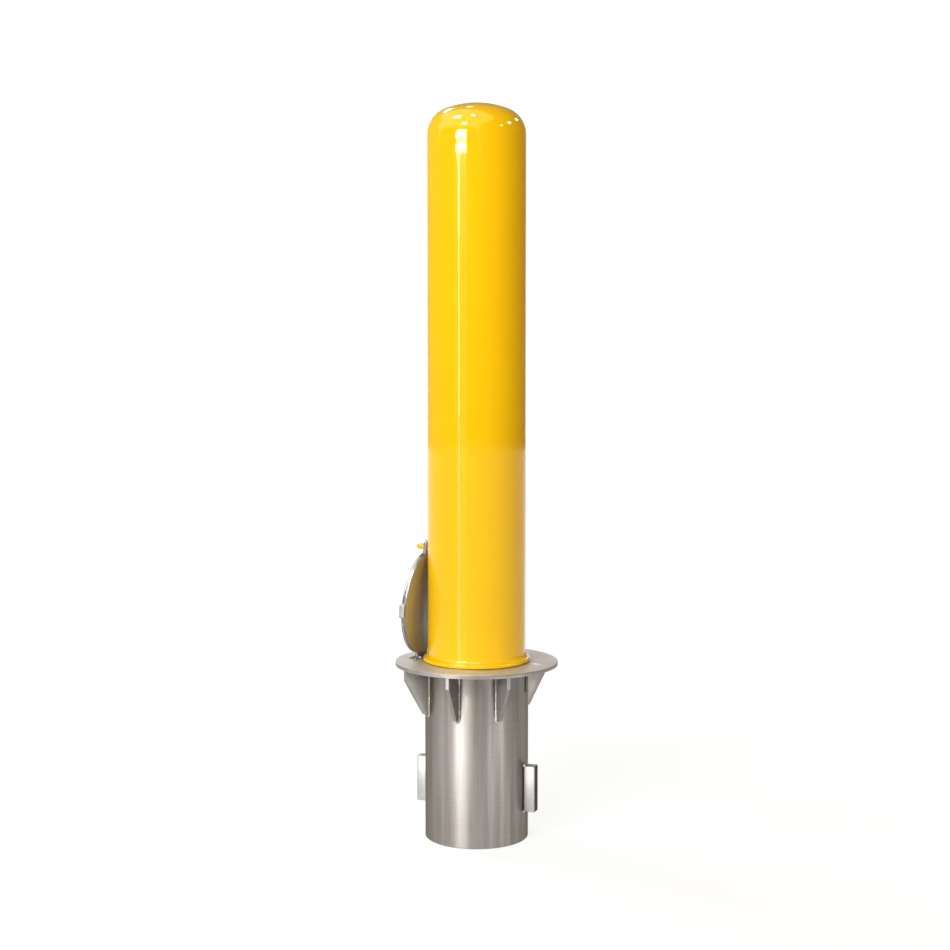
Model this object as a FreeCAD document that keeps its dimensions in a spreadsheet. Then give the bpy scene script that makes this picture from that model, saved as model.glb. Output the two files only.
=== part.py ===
import FreeCAD, Part
import os
import re

import Sketcher

# Removable bollard: a domed steel post that stands in a flanged ground sleeve,
# with a hinged lid that closes the sleeve once the post is lifted out.
# Millimetres. The origin is the centre of the sleeve's bottom end and +Z is up.
# The lock side is +X and the lid's hinge is on the -X side.

SIZES = {
    # Ground sleeve
    "sleeve_radius": 88.9,
    "sleeve_wall": 3.05,
    "sleeve_length": 304.8,
    "slit_width": 7.0,
    "slit_length": 42.0,
    "slit_drop": 8.0,
    # Flange plate round the sleeve's mouth
    "flange_radius": 139.7,
    "flange_thickness": 6.35,
    "flange_edge_break": 0.6,
    "window_inner_space": 8.0,
    "window_outer_space": 16.5,
    "window_half_width": 31.0,
    "window_corner": 2.5,
    "lock_slot_radius": 108.0,
    "lock_slot_length": 24.0,
    "lock_slot_width": 12.0,
    # Gussets under the flange
    "gusset_thickness": 6.35,
    "gusset_setback": 6.7,
    "gusset_edge_height": 20.0,
    "gusset_height": 80.0,
    "gusset_nose": 10.6,
    "gusset_nose_round": 4.0,
    "gusset_spacing": 45.0,
    # Anchor lugs low on the sleeve
    "lug_width": 19.05,
    "lug_reach": 109.0,
    "lug_bottom": 51.0,
    "lug_height": 79.0,
    "lug_edge_break": 1.6,
    "lug_root_relief": 2.6,
    # Hinge
    "pin_radius": 3.175,
    "pin_half_length": 44.0,
    "pin_place": 99.0,
    "knuckle_radius": 6.35,
    "knuckle_clearance": 0.05,
    # Lid: two discs, a tongue down to the hinge and a forked tab at the far end
    "lid_lean": 4.9,
    "lid_radius": 88.9,
    "lid_plate_thickness": 4.76,
    "lid_cover_thickness": 3.18,
    "lid_cover_break": 0.6,
    "tongue_width": 42.0,
    "tongue_end": 2.0,
    "tab_overhang": 22.0,
    "tab_corner": 5.5,
    "rim_lug_length": 23.0,
    "rim_lug_reach": 5.5,
    "rim_lug_proud": 1.5,
    "rim_lug_turn": 87.0,
    "rim_lug_edge_break": 1.5,
    # Post
    "post_radius": 84.14,
    "post_wall": 7.11,
    "post_foot_height": 12.0,
    "post_foot_break": 2.5,
    "post_height": 946.0,
    "cap_skirt": 20.0,
    "cap_crown_radius": 151.0,
    "cap_knuckle_radius": 32.0,
    "collar_bar_radius": 3.97,
    # Staple on the post for the padlock
    "staple_bar_radius": 3.97,
    "staple_width": 25.4,
    "staple_reach": 27.3,
    "staple_height": 193.0,
    "staple_slack": 2.4,
    # Gaps: between welded pieces, and between pieces that part
    "weld_gap": 0.05,
    "seat_gap": 0.3,
}

GUSSET_COUNT = 6

# Places that several pieces share, as expressions of the sizes above
FLANGE_TOP = "sleeve_length"
FLANGE_UNDERSIDE = "(sleeve_length - flange_thickness)"
PIN_LEVEL = "(sleeve_length - flange_thickness / 2)"
BORE_RADIUS = "(sleeve_radius - sleeve_wall)"
LID_INNER_FACE = "(flange_thickness / 2 + seat_gap)"
LID_MIDDLE_FACE = "(flange_thickness / 2 + seat_gap + lid_plate_thickness)"
LID_OUTER_FACE = "(flange_thickness / 2 + seat_gap + lid_plate_thickness + lid_cover_thickness)"
GUSSET_REACH = "(flange_radius - gusset_setback)"
GUSSET_NOSE_REACH = "(sleeve_radius + gusset_nose)"
COLLAR_RADIUS = "(post_radius + collar_bar_radius + weld_gap)"
POST_TOP = "(sleeve_length + post_height)"
CROWN_CENTRE = f"({POST_TOP} - cap_crown_radius)"
KNUCKLE_PLACE = "(post_radius - cap_knuckle_radius)"
KNUCKLE_LEVEL = f"({CROWN_CENTRE} + sqrt((cap_crown_radius - cap_knuckle_radius) ^ 2 - {KNUCKLE_PLACE} ^ 2))"
CAP_SEAM = f"({KNUCKLE_LEVEL} - cap_skirt)"
STAPLE_LEVEL = "(sleeve_length + staple_height)"
STAPLE_BEND_RADIUS = "(staple_width / 2 - staple_bar_radius)"
STAPLE_BEND_PLACE = "(post_radius + staple_reach - staple_width / 2)"
# Distance along the lid from the pin to the staple's middle
STAPLE_ON_LID = "((staple_height + flange_thickness / 2) / cos(lid_lean * 1deg))"
FORK_FLOOR = f"({STAPLE_ON_LID} - staple_bar_radius - staple_slack)"
FORK_HALF_WIDTH = "(staple_width / 2 + staple_slack / 2 + seat_gap)"
TAB_END = "(pin_place + lid_radius + tab_overhang)"

DOC = FreeCAD.newDocument("RemovableBollard")
PIECES = []


def make_sheet():
    """Write the driving sizes into the sheet, one alias to a row."""
    sheet = DOC.addObject("Spreadsheet::Sheet", "Sizes")
    for row, (name, number) in enumerate(SIZES.items(), start=1):
        sheet.set(f"A{row}", name)
        sheet.set(f"B{row}", str(number))
        sheet.setAlias(f"B{row}", name)
    DOC.recompute()
    return sheet


SHEET = make_sheet()


def on_sheet(formula):
    """Point each size's name in a formula at its cell."""
    return re.sub(r"[a-z_]+", lambda word: "Sizes." + word[0] if word[0] in SIZES else word[0], formula)


def number_of(formula):
    """Work a formula of the sizes out to a plain number."""
    result = SHEET.evalExpression(on_sheet(formula))
    return float(getattr(result, "Value", result))


def bind(item, **formulas):
    """Tie properties to the sheet; a double underscore stands for a dot."""
    for name, formula in formulas.items():
        item.setExpression(name.replace("__", "."), on_sheet(formula))


def keep(item, node):
    """Name a finished piece, so that it is written to its own file."""
    item.Label = node
    PIECES.append(item)
    return item


def new_body(node):
    """Start a piece made of sketched features."""
    return keep(DOC.addObject("PartDesign::Body", node), node)


def new_sketch(body, plane, name, level="0"):
    """Add a sketch on one of the body's own planes, lifted along its normal."""
    sketch = body.newObject("Sketcher::SketchObject", name)
    origin_plane = [item for item in body.Origin.OriginFeatures if item.Role == plane][0]
    sketch.AttachmentSupport = [(origin_plane, "")]
    sketch.MapMode = "FlatFace"
    bind(sketch, AttachmentOffset__Base__z=level)
    return sketch


def tie_point(sketch, shape, point, across, up):
    """Hold one point of a sketched shape at a place given by formulas."""
    for kind, formula in (("DistanceX", across), ("DistanceY", up)):
        rule = Sketcher.Constraint(kind, -1, 1, shape, point, number_of(formula))
        place = sketch.addConstraint(rule)
        sketch.setExpression(f"Constraints[{place}]", on_sheet(formula))


def draw_outline(sketch, corners):
    """Draw a closed outline of straight edges through the corners."""
    spots = [FreeCAD.Vector(number_of(across), number_of(up), 0) for across, up in corners]
    edges = [sketch.addGeometry(Part.LineSegment(spots[n - 1], spots[n])) for n in range(len(spots))]
    for n, edge in enumerate(edges):
        sketch.addConstraint(Sketcher.Constraint("Coincident", edges[n - 1], 2, edge, 1))
    for edge, (across, up) in zip(edges, corners):
        tie_point(sketch, edge, 2, across, up)


def tie_radius(sketch, shape, radius):
    """Hold the radius of a sketched circle or arc at a formula."""
    place = sketch.addConstraint(Sketcher.Constraint("Radius", shape, number_of(radius)))
    sketch.setExpression(f"Constraints[{place}]", on_sheet(radius))


def draw_circle(sketch, radius, across="0", up="0"):
    """Draw a circle of a given radius about a given centre."""
    centre = FreeCAD.Vector(number_of(across), number_of(up), 0)
    circle = sketch.addGeometry(Part.Circle(centre, FreeCAD.Vector(0, 0, 1), number_of(radius)))
    tie_point(sketch, circle, 3, across, up)
    tie_radius(sketch, circle, radius)


def draw_box(sketch, low_across, high_across, low_up, high_up):
    """Draw a rectangle between two corners."""
    draw_outline(sketch, [(low_across, low_up), (high_across, low_up),
                          (high_across, high_up), (low_across, high_up)])


def add_feature(body, kind, name, sketch):
    """Add a feature that is made from a sketch."""
    feature = body.newObject(kind, name)
    feature.Profile = sketch
    return feature


def revolve(body, sketch, name):
    """Turn a sketch on the XZ plane once round the Z axis."""
    feature = add_feature(body, "PartDesign::Revolution", name, sketch)
    feature.ReferenceAxis = (sketch, ["V_Axis"])
    feature.Angle = 360
    DOC.recompute()
    return feature


def pad(body, sketch, name, length, both_ways=False):
    """Raise a sketch by a length, or by half of it to each side."""
    feature = add_feature(body, "PartDesign::Pad", name, sketch)
    feature.SideType = "Symmetric" if both_ways else "One side"
    bind(feature, Length=length)
    DOC.recompute()
    return feature


def pocket(body, sketch, name, length, reverse=False, both_ways=False):
    """Cut a sketch into the body, and stop if nothing comes away."""
    before = body.Shape.Volume
    feature = add_feature(body, "PartDesign::Pocket", name, sketch)
    feature.SideType = "Symmetric" if both_ways else "One side"
    feature.Reversed = reverse
    bind(feature, Length=length)
    DOC.recompute()
    if not body.Shape.Volume < before:
        raise RuntimeError(f"{body.Label}: {name} cuts nothing")
    return feature


def edges_where(shape, test):
    """Name the edges whose middle point passes a test."""
    middles = [edge.valueAt((edge.FirstParameter + edge.LastParameter) / 2) for edge in shape.Edges]
    return [f"Edge{n}" for n, middle in enumerate(middles, start=1) if test(middle)]


def dress_edges(body, kind, name, test, size):
    """Round or chamfer the edges of the body's tip that pass a test."""
    base = body.Tip
    feature = body.newObject(kind, name)
    feature.Base = (base, edges_where(base.Shape, test))
    bind(feature, **{"Radius" if kind.endswith("Fillet") else "Size": size})
    DOC.recompute()
    return feature


def near(first, formula):
    """Tell whether a number is the value of a formula, to a hundredth."""
    return abs(first - number_of(formula)) < 0.01


def make_sleeve_tube():
    """Thin round tube, open at both ends, with a slit for the padlock under the flange."""
    body = new_body("sleeve_tube")
    wall = new_sketch(body, "XZ_Plane", "SleeveWall")
    draw_box(wall, BORE_RADIUS, "sleeve_radius", "0", FLANGE_TOP)
    revolve(body, wall, "SleeveTurn")
    slit = new_sketch(body, "YZ_Plane", "SlitOutline")
    draw_box(slit, "-slit_width / 2", "slit_width / 2",
             f"{FLANGE_TOP} - slit_drop - slit_length", f"{FLANGE_TOP} - slit_drop")
    pocket(body, slit, "SlitCut", "sleeve_radius + sleeve_wall", reverse=True)

    def slit_corner(middle):
        level = number_of(f"{FLANGE_TOP} - slit_drop")
        foot = number_of(f"{FLANGE_TOP} - slit_drop - slit_length")
        at_end = abs(middle.z - level) < 0.01 or abs(middle.z - foot) < 0.01
        return at_end and near(abs(middle.y), "slit_width / 2")

    dress_edges(body, "PartDesign::Fillet", "SlitEnds", slit_corner, "slit_width * 0.45")


def make_flange_plate():
    """Flat ring flush with the sleeve's mouth, cut out for the hinge and the padlock."""
    body = new_body("flange_plate")
    ring = new_sketch(body, "XY_Plane", "FlangeRing", FLANGE_UNDERSIDE)
    draw_circle(ring, "flange_radius")
    draw_circle(ring, "sleeve_radius + weld_gap")
    pad(body, ring, "FlangePad", "flange_thickness")
    window = new_sketch(body, "XY_Plane", "HingeWindow", FLANGE_UNDERSIDE)
    inner = "-(pin_place - window_inner_space)"
    outer = "-(pin_place + window_outer_space)"
    draw_box(window, outer, inner, "-window_half_width", "window_half_width")
    pocket(body, window, "WindowCut", "flange_thickness", reverse=True)

    def window_corner(middle):
        at_side = near(middle.x, inner) or near(middle.x, outer)
        return at_side and near(abs(middle.y), "window_half_width")

    dress_edges(body, "PartDesign::Fillet", "WindowCorners", window_corner, "window_corner")
    groove = new_sketch(body, "XY_Plane", "PinGroove", FLANGE_UNDERSIDE)
    draw_box(groove, "-(pin_place + pin_radius + weld_gap)", "-(pin_place - pin_radius - weld_gap)",
             "-(pin_half_length + weld_gap)", "pin_half_length + weld_gap")
    pocket(body, groove, "GrooveCut", "flange_thickness", reverse=True)
    lock = new_sketch(body, "XY_Plane", "LockSlot", FLANGE_UNDERSIDE)
    draw_box(lock, "lock_slot_radius - lock_slot_length / 2", "lock_slot_radius + lock_slot_length / 2",
             "-lock_slot_width / 2", "lock_slot_width / 2")
    pocket(body, lock, "LockCut", "flange_thickness", reverse=True)

    def lock_corner(middle):
        return middle.x > 0 and near(abs(middle.y), "lock_slot_width / 2") \
            and not near(middle.x, "lock_slot_radius")

    dress_edges(body, "PartDesign::Fillet", "LockCorners", lock_corner, "lock_slot_width * 0.4")

    def outer_rim(middle):
        return near(middle.x ** 2 + middle.y ** 2, "flange_radius ^ 2") \
            and (near(middle.z, FLANGE_TOP) or near(middle.z, FLANGE_UNDERSIDE))

    dress_edges(body, "PartDesign::Chamfer", "RimBreak", outer_rim, "flange_edge_break")


def make_gusset(number, turn):
    """Triangular plate under the flange, turned to its place round the sleeve."""
    body = new_body(f"gusset_{number}")
    foot = f"{FLANGE_UNDERSIDE} - gusset_height"
    root = "sleeve_radius + weld_gap"
    side = new_sketch(body, "XZ_Plane", f"GussetSide{number}")
    draw_outline(side, [(root, FLANGE_UNDERSIDE), (GUSSET_REACH, FLANGE_UNDERSIDE),
                        (GUSSET_REACH, f"{FLANGE_UNDERSIDE} - gusset_edge_height"),
                        (GUSSET_NOSE_REACH, foot), (root, foot)])
    pad(body, side, f"GussetPad{number}", "gusset_thickness", both_ways=True)

    def nose(middle):
        return near(middle.x, GUSSET_NOSE_REACH) and near(middle.z, foot)

    dress_edges(body, "PartDesign::Fillet", f"GussetNose{number}", nose, "gusset_nose_round")
    body.Placement = FreeCAD.Placement(FreeCAD.Vector(), FreeCAD.Rotation(FreeCAD.Vector(0, 0, 1), 1))
    bind(body, Placement__Rotation__Angle=turn)


def make_gussets():
    """Three gussets each side, leaving the hinge and the lock clear."""
    per_side = GUSSET_COUNT // 2
    for n in range(per_side):
        make_gusset(n + 1, f"gusset_spacing * {n + 1}")
        make_gusset(n + 1 + per_side, f"360 - gusset_spacing * {n + 1}")


def make_anchor_lug(node, turn):
    """Bar standing off the sleeve to key it into the concrete, relieved at its root."""
    body = new_body(node)
    block = new_sketch(body, "XY_Plane", f"{node}_plan", "lug_bottom")
    draw_box(block, "sleeve_radius + weld_gap", "lug_reach", "-lug_width / 2", "lug_width / 2")
    pad(body, block, f"{node}_pad", "lug_height")

    def outer_edge(middle):
        return near(middle.x, "lug_reach")

    def root_side(middle):
        return near(middle.x, "sleeve_radius + weld_gap") and near(abs(middle.y), "lug_width / 2")

    dress_edges(body, "PartDesign::Chamfer", f"{node}_relief", root_side, "lug_root_relief")
    dress_edges(body, "PartDesign::Chamfer", f"{node}_break", outer_edge, "lug_edge_break")
    body.Placement = FreeCAD.Placement(FreeCAD.Vector(), FreeCAD.Rotation(FreeCAD.Vector(0, 0, 1), 1))
    bind(body, Placement__Rotation__Angle=turn)


def lay_along_y(cylinder, half_length, across, level):
    """Turn a cylinder so that it lies along Y, centred on the XZ plane."""
    turn = FreeCAD.Rotation(FreeCAD.Vector(1, 0, 0), -90)
    cylinder.Placement = FreeCAD.Placement(FreeCAD.Vector(), turn)
    bind(cylinder, Height=f"2 * {half_length}", Placement__Base__x=across,
         Placement__Base__y=f"-{half_length}", Placement__Base__z=level)


def make_hinge_pin():
    """Plain round pin lying in the flange's groove."""
    pin = keep(DOC.addObject("Part::Cylinder", "hinge_pin"), "hinge_pin")
    bind(pin, Radius="pin_radius")
    lay_along_y(pin, "pin_half_length", "-pin_place", PIN_LEVEL)


def place_on_lid(item):
    """Stand a piece drawn flat about the pin up to the lid's leaning rest.

    Drawn flat, X runs along the lid away from the pin, Y lies along the pin and
    Z is the lid's outward side.
    """
    turn = FreeCAD.Rotation(FreeCAD.Vector(0, -1, 0), 85)
    item.Placement = FreeCAD.Placement(FreeCAD.Vector(), turn)
    bind(item, Placement__Base__x="-pin_place", Placement__Base__z=PIN_LEVEL,
         Placement__Rotation__Angle="90 - lid_lean")


def make_hinge_knuckle():
    """Short barrel that turns on the pin and carries the lid's tongue."""
    body = new_body("hinge_knuckle")
    section = new_sketch(body, "XZ_Plane", "KnuckleSection")
    draw_circle(section, "knuckle_radius")
    draw_circle(section, "pin_radius + knuckle_clearance")
    pad(body, section, "KnucklePad", "tongue_width", both_ways=True)
    place_on_lid(body)


def make_lid_plate():
    """Inner disc of the lid with its tongue and its forked tab, cut as one plate."""
    body = new_body("lid_plate")
    disc = new_sketch(body, "XY_Plane", "LidDisc", LID_INNER_FACE)
    draw_circle(disc, "lid_radius", "pin_place")
    pad(body, disc, "LidDiscPad", "lid_plate_thickness")
    strip = new_sketch(body, "XY_Plane", "LidStrip", LID_INNER_FACE)
    draw_box(strip, "tongue_end", TAB_END, "-tongue_width / 2", "tongue_width / 2")
    pad(body, strip, "LidStripPad", "lid_plate_thickness")

    def tab_corner(middle):
        return near(middle.x, TAB_END) and near(abs(middle.y), "tongue_width / 2")

    dress_edges(body, "PartDesign::Chamfer", "TabCorners", tab_corner, "tab_corner")
    fork = new_sketch(body, "XY_Plane", "ForkSlot", LID_INNER_FACE)
    draw_box(fork, FORK_FLOOR, f"{TAB_END} + lid_plate_thickness", f"-{FORK_HALF_WIDTH}", FORK_HALF_WIDTH)
    pocket(body, fork, "ForkCut", "lid_plate_thickness", reverse=True)

    def fork_corner(middle):
        return near(middle.x, FORK_FLOOR) and near(abs(middle.y), FORK_HALF_WIDTH)

    dress_edges(body, "PartDesign::Fillet", "ForkCorners", fork_corner, "staple_slack")
    relief = new_sketch(body, "XZ_Plane", "KnuckleRelief")
    draw_circle(relief, "knuckle_radius + weld_gap")
    pocket(body, relief, "ReliefCut", "tongue_width * 1.1", both_ways=True)
    place_on_lid(body)


def make_lid_cover():
    """Thinner disc on the plate's outer side, with its rim broken."""
    body = new_body("lid_cover")
    disc = new_sketch(body, "XY_Plane", "CoverDisc", LID_MIDDLE_FACE)
    draw_circle(disc, "lid_radius", "pin_place")
    pad(body, disc, "CoverPad", "lid_cover_thickness")

    def outer_edge(middle):
        return near(middle.z, LID_OUTER_FACE)

    dress_edges(body, "PartDesign::Chamfer", "CoverBreak", outer_edge, "lid_cover_break")
    place_on_lid(body)


def make_lid_rim_lug():
    """Small block welded to the rim a quarter turn from the hinge."""
    body = new_body("lid_rim_lug")
    plan = new_sketch(body, "XY_Plane", "RimLugPlan", LID_INNER_FACE)
    draw_box(plan, "0", "lid_radius + rim_lug_reach", "-rim_lug_length / 2", "rim_lug_length / 2")
    pad(body, plan, "RimLugPad", "lid_plate_thickness + lid_cover_thickness + rim_lug_proud")
    rim = new_sketch(body, "XY_Plane", "RimLugSeat", LID_INNER_FACE)
    draw_circle(rim, "lid_radius + weld_gap")
    pocket(body, rim, "RimLugSeatCut", "lid_plate_thickness + lid_cover_thickness + rim_lug_proud",
           reverse=True)

    def outer_edge(middle):
        return near(middle.x, "lid_radius + rim_lug_reach")

    dress_edges(body, "PartDesign::Chamfer", "RimLugBreak", outer_edge, "rim_lug_edge_break")
    about = FreeCAD.Rotation(FreeCAD.Vector(0, 0, 1), 1)
    turned = DOC.addObject("Part::Compound", "RimLugTurned")
    turned.Links = [body]
    body.Placement = FreeCAD.Placement(FreeCAD.Vector(), about)
    bind(body, Placement__Base__x="pin_place", Placement__Rotation__Angle="180 + rim_lug_turn")
    place_on_lid(turned)
    PIECES.remove(body)
    body.Label = "rim_lug_block"
    keep(turned, "lid_rim_lug")


def make_post_tube():
    """Round pipe, open at the foot, with a chamfer to lead it into the sleeve."""
    body = new_body("post_tube")
    wall = new_sketch(body, "XZ_Plane", "PostWall")
    draw_outline(wall, [("post_radius - post_wall", "post_foot_height"),
                        ("post_radius - post_foot_break", "post_foot_height"),
                        ("post_radius", "post_foot_height + post_foot_break"),
                        ("post_radius", CAP_SEAM), ("post_radius - post_wall", CAP_SEAM)])
    revolve(body, wall, "PostTurn")


def draw_dome_skin(sketch, inset):
    """Draw one face of the pressed dome: a straight skirt, a knuckle arc and the crown's arc."""
    flat = FreeCAD.Vector(0, 0, 1)
    side = number_of(f"post_radius - {inset}")
    heel = FreeCAD.Vector(side, number_of(CAP_SEAM), 0)
    shoulder = FreeCAD.Vector(side, number_of(KNUCKLE_LEVEL), 0)
    middle = FreeCAD.Vector(0, number_of(CROWN_CENTRE), 0)
    corner = FreeCAD.Vector(number_of(KNUCKLE_PLACE), number_of(KNUCKLE_LEVEL), 0)
    crown_circle = Part.Circle(middle, flat, number_of(f"cap_crown_radius - {inset}"))
    knuckle_circle = Part.Circle(corner, flat, number_of(f"cap_knuckle_radius - {inset}"))
    join = middle + (corner - middle).normalize() * crown_circle.Radius
    apex = FreeCAD.Vector(0, number_of(f"{POST_TOP} - {inset}"), 0)
    skirt = sketch.addGeometry(Part.LineSegment(heel, shoulder))
    knuckle = sketch.addGeometry(Part.ArcOfCircle(
        knuckle_circle, knuckle_circle.parameter(shoulder), knuckle_circle.parameter(join)))
    crown = sketch.addGeometry(Part.ArcOfCircle(
        crown_circle, crown_circle.parameter(join), crown_circle.parameter(apex)))
    sketch.addConstraint([Sketcher.Constraint("Vertical", skirt),
                          Sketcher.Constraint("Tangent", skirt, 2, knuckle, 1),
                          Sketcher.Constraint("Tangent", knuckle, 2, crown, 1),
                          Sketcher.Constraint("PointOnObject", crown, 3, -2)])
    tie_point(sketch, skirt, 1, f"post_radius - {inset}", CAP_SEAM)
    tie_point(sketch, crown, 2, "0", f"{POST_TOP} - {inset}")
    tie_radius(sketch, knuckle, f"cap_knuckle_radius - {inset}")
    tie_radius(sketch, crown, f"cap_crown_radius - {inset}")
    return skirt, crown, heel, apex


def make_post_cap():
    """Pressed dome of the pipe's own wall, welded on and ground flush."""
    body = new_body("post_cap")
    section = new_sketch(body, "XZ_Plane", "CapSection")
    outer_skirt, outer_crown, outer_heel, outer_apex = draw_dome_skin(section, "0")
    inner_skirt, inner_crown, inner_heel, inner_apex = draw_dome_skin(section, "post_wall")
    seam = section.addGeometry(Part.LineSegment(inner_heel, outer_heel))
    axis = section.addGeometry(Part.LineSegment(outer_apex, inner_apex))
    section.addConstraint([Sketcher.Constraint("Coincident", seam, 1, inner_skirt, 1),
                           Sketcher.Constraint("Coincident", seam, 2, outer_skirt, 1),
                           Sketcher.Constraint("Coincident", axis, 1, outer_crown, 2),
                           Sketcher.Constraint("Coincident", axis, 2, inner_crown, 2)])
    revolve(body, section, "CapTurn")


def make_collar_ring():
    """Round bar bent to a ring, which carries the post on the flange."""
    ring = keep(DOC.addObject("Part::Torus", "collar_ring"), "collar_ring")
    bind(ring, Radius1=COLLAR_RADIUS, Radius2="collar_bar_radius",
         Placement__Base__z=f"{FLANGE_TOP} + seat_gap + collar_bar_radius")


def make_staple_leg(name, side):
    """Straight leg of the staple, running out of the post."""
    leg = DOC.addObject("Part::Cylinder", name)
    turn = FreeCAD.Rotation(FreeCAD.Vector(0, 1, 0), 90)
    leg.Placement = FreeCAD.Placement(FreeCAD.Vector(), turn)
    bind(leg, Radius="staple_bar_radius", Height=f"{STAPLE_BEND_PLACE} - post_radius + post_wall",
         Placement__Base__x=f"-{STAPLE_BEND_PLACE}", Placement__Base__y=f"{side} * {STAPLE_BEND_RADIUS}",
         Placement__Base__z=STAPLE_LEVEL)
    return leg


def make_lock_staple():
    """Round bar bent to a level U and welded to the post over the lid's tab."""
    bend = DOC.addObject("Part::Torus", "StapleBend")
    bend.Angle3 = 180
    bend.Placement = FreeCAD.Placement(FreeCAD.Vector(), FreeCAD.Rotation(FreeCAD.Vector(0, 0, 1), 90))
    bind(bend, Radius1=STAPLE_BEND_RADIUS, Radius2="staple_bar_radius",
         Placement__Base__x=f"-{STAPLE_BEND_PLACE}", Placement__Base__z=STAPLE_LEVEL)
    bar = DOC.addObject("Part::MultiFuse", "StapleBar")
    bar.Shapes = [bend, make_staple_leg("StapleNearLeg", -1), make_staple_leg("StapleFarLeg", 1)]
    pipe = DOC.addObject("Part::Cylinder", "StapleSeat")
    bind(pipe, Radius="post_radius + weld_gap", Height=CAP_SEAM)
    staple = DOC.addObject("Part::Cut", "lock_staple")
    staple.Base = bar
    staple.Tool = pipe
    keep(staple, "lock_staple")


def check_pieces():
    """Stop if any object failed, or if a piece is not one sound solid."""
    for item in DOC.Objects:
        if {"Invalid", "Error"} & set(item.State):
            raise RuntimeError(f"{item.Label} did not compute: {item.State}")
    for piece in PIECES:
        shape = piece.Shape
        if shape.isNull() or not shape.isValid() or len(shape.Solids) != 1:
            raise RuntimeError(f"{piece.Label} is not one valid solid")


def write_pieces():
    """Write each piece to its own file and list its volume."""
    os.makedirs("parts", exist_ok=True)
    for piece in PIECES:
        piece.Shape.exportStep(f"parts/{piece.Label}.step")
        print(f"{piece.Label}: {piece.Shape.Volume / 1000:.1f} cm3")


make_sleeve_tube()
make_flange_plate()
make_gussets()
make_anchor_lug("anchor_lug_lock_side", "0")
make_anchor_lug("anchor_lug_hinge_side", "180")
make_hinge_pin()
make_hinge_knuckle()
make_lid_plate()
make_lid_cover()
make_lid_rim_lug()
make_post_tube()
make_post_cap()
make_collar_ring()
make_lock_staple()
DOC.recompute()
check_pieces()
write_pieces()
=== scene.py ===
"""Looks of a removable bollard.

A yellow coated steel post with a pressed dome stands in a flanged stainless
ground sleeve. A round lid on a hinge leans against the post, and a staple on
the post passes through the lid's forked tab. Lengths are in metres, +Z is up,
and the origin is the centre of the sleeve's bottom end.
"""

import logging
import math
import random
from dataclasses import dataclass, field
from enum import Enum
from typing import Any, Sequence

import bmesh
import bpy
from bpy.types import Material, Mesh, Node, NodeSocket, NodeTree, Object
from mathutils import Matrix, Vector

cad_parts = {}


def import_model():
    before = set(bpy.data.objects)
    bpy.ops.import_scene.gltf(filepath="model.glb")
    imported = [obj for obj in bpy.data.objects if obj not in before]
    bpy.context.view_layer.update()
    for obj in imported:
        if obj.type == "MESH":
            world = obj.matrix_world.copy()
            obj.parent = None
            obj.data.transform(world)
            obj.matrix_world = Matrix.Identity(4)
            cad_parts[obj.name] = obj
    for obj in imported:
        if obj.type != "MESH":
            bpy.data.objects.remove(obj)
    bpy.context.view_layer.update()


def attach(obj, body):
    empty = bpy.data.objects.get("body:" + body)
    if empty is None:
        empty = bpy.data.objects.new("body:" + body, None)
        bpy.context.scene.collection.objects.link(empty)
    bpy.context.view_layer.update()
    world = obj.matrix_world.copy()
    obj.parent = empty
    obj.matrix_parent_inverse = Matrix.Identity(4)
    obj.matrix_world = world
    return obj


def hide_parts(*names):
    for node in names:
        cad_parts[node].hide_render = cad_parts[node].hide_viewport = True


log = logging.getLogger("bollard")

MM = 0.001
ROUND_STEPS = 256
SHARP_ANGLE = math.radians(28)
AXIS_RADIUS = 1e-7
MIX_FIRST, MIX_SECOND, MIX_RESULT = 6, 7, 2

Point = tuple[float, float]
Colour = tuple[float, float, float]


class Body(Enum):
    """Moving bodies of the bollard."""

    SLEEVE = "sleeve"
    POST = "post"
    LID = "lid"


class Slot(Enum):
    """Finishes that the record names."""

    YELLOW = "yellow_coating"
    STEEL = "brushed_stainless"


def rounded(corners: Sequence[Point], radii: Sequence[float], steps: int = 6) -> list[Point]:
    """Round the corners of a closed outline.

    Args:
        corners: Corner points in order.
        radii: One radius for each corner, 0 for a sharp one.
        steps: Straight runs in each rounded corner.

    Returns:
        The outline with its corners replaced by arcs.
    """
    outline: list[Point] = []
    count = len(corners)
    for n, (corner, radius) in enumerate(zip(corners, radii)):
        here = Vector(corner)
        if radius <= 0:
            outline.append((here.x, here.y))
            continue
        back = (Vector(corners[n - 1]) - here).normalized()
        ahead = (Vector(corners[(n + 1) % count]) - here).normalized()
        half = back.angle(ahead) / 2
        setback = radius / math.tan(half)
        centre = here + (back + ahead).normalized() * radius / math.sin(half)
        start = here + back * setback - centre
        end = here + ahead * setback - centre
        sweep = start.angle_signed(end)
        for step in range(steps + 1):
            spoke = start.copy()
            spoke.rotate(Matrix.Rotation(-sweep * step / steps, 2))
            outline.append((centre.x + spoke.x, centre.y + spoke.y))
    return outline


def circle(radius: float, centre: Point = (0.0, 0.0), steps: int = ROUND_STEPS) -> list[Point]:
    """Return the points of a circle, anticlockwise."""
    turns = (math.tau * n / steps for n in range(steps))
    return [(centre[0] + radius * math.cos(turn), centre[1] + radius * math.sin(turn)) for turn in turns]


def arc(centre: Point, radius: float, start: float, end: float, steps: int) -> list[Point]:
    """Return the points of an arc, its angles in radians."""
    turns = (start + (end - start) * n / steps for n in range(steps + 1))
    return [(centre[0] + radius * math.cos(turn), centre[1] + radius * math.sin(turn)) for turn in turns]


def rectangle(low: Point, high: Point) -> list[Point]:
    """Return the four corners of a rectangle, anticlockwise."""
    return [low, (high[0], low[1]), high, (low[0], high[1])]


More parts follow.
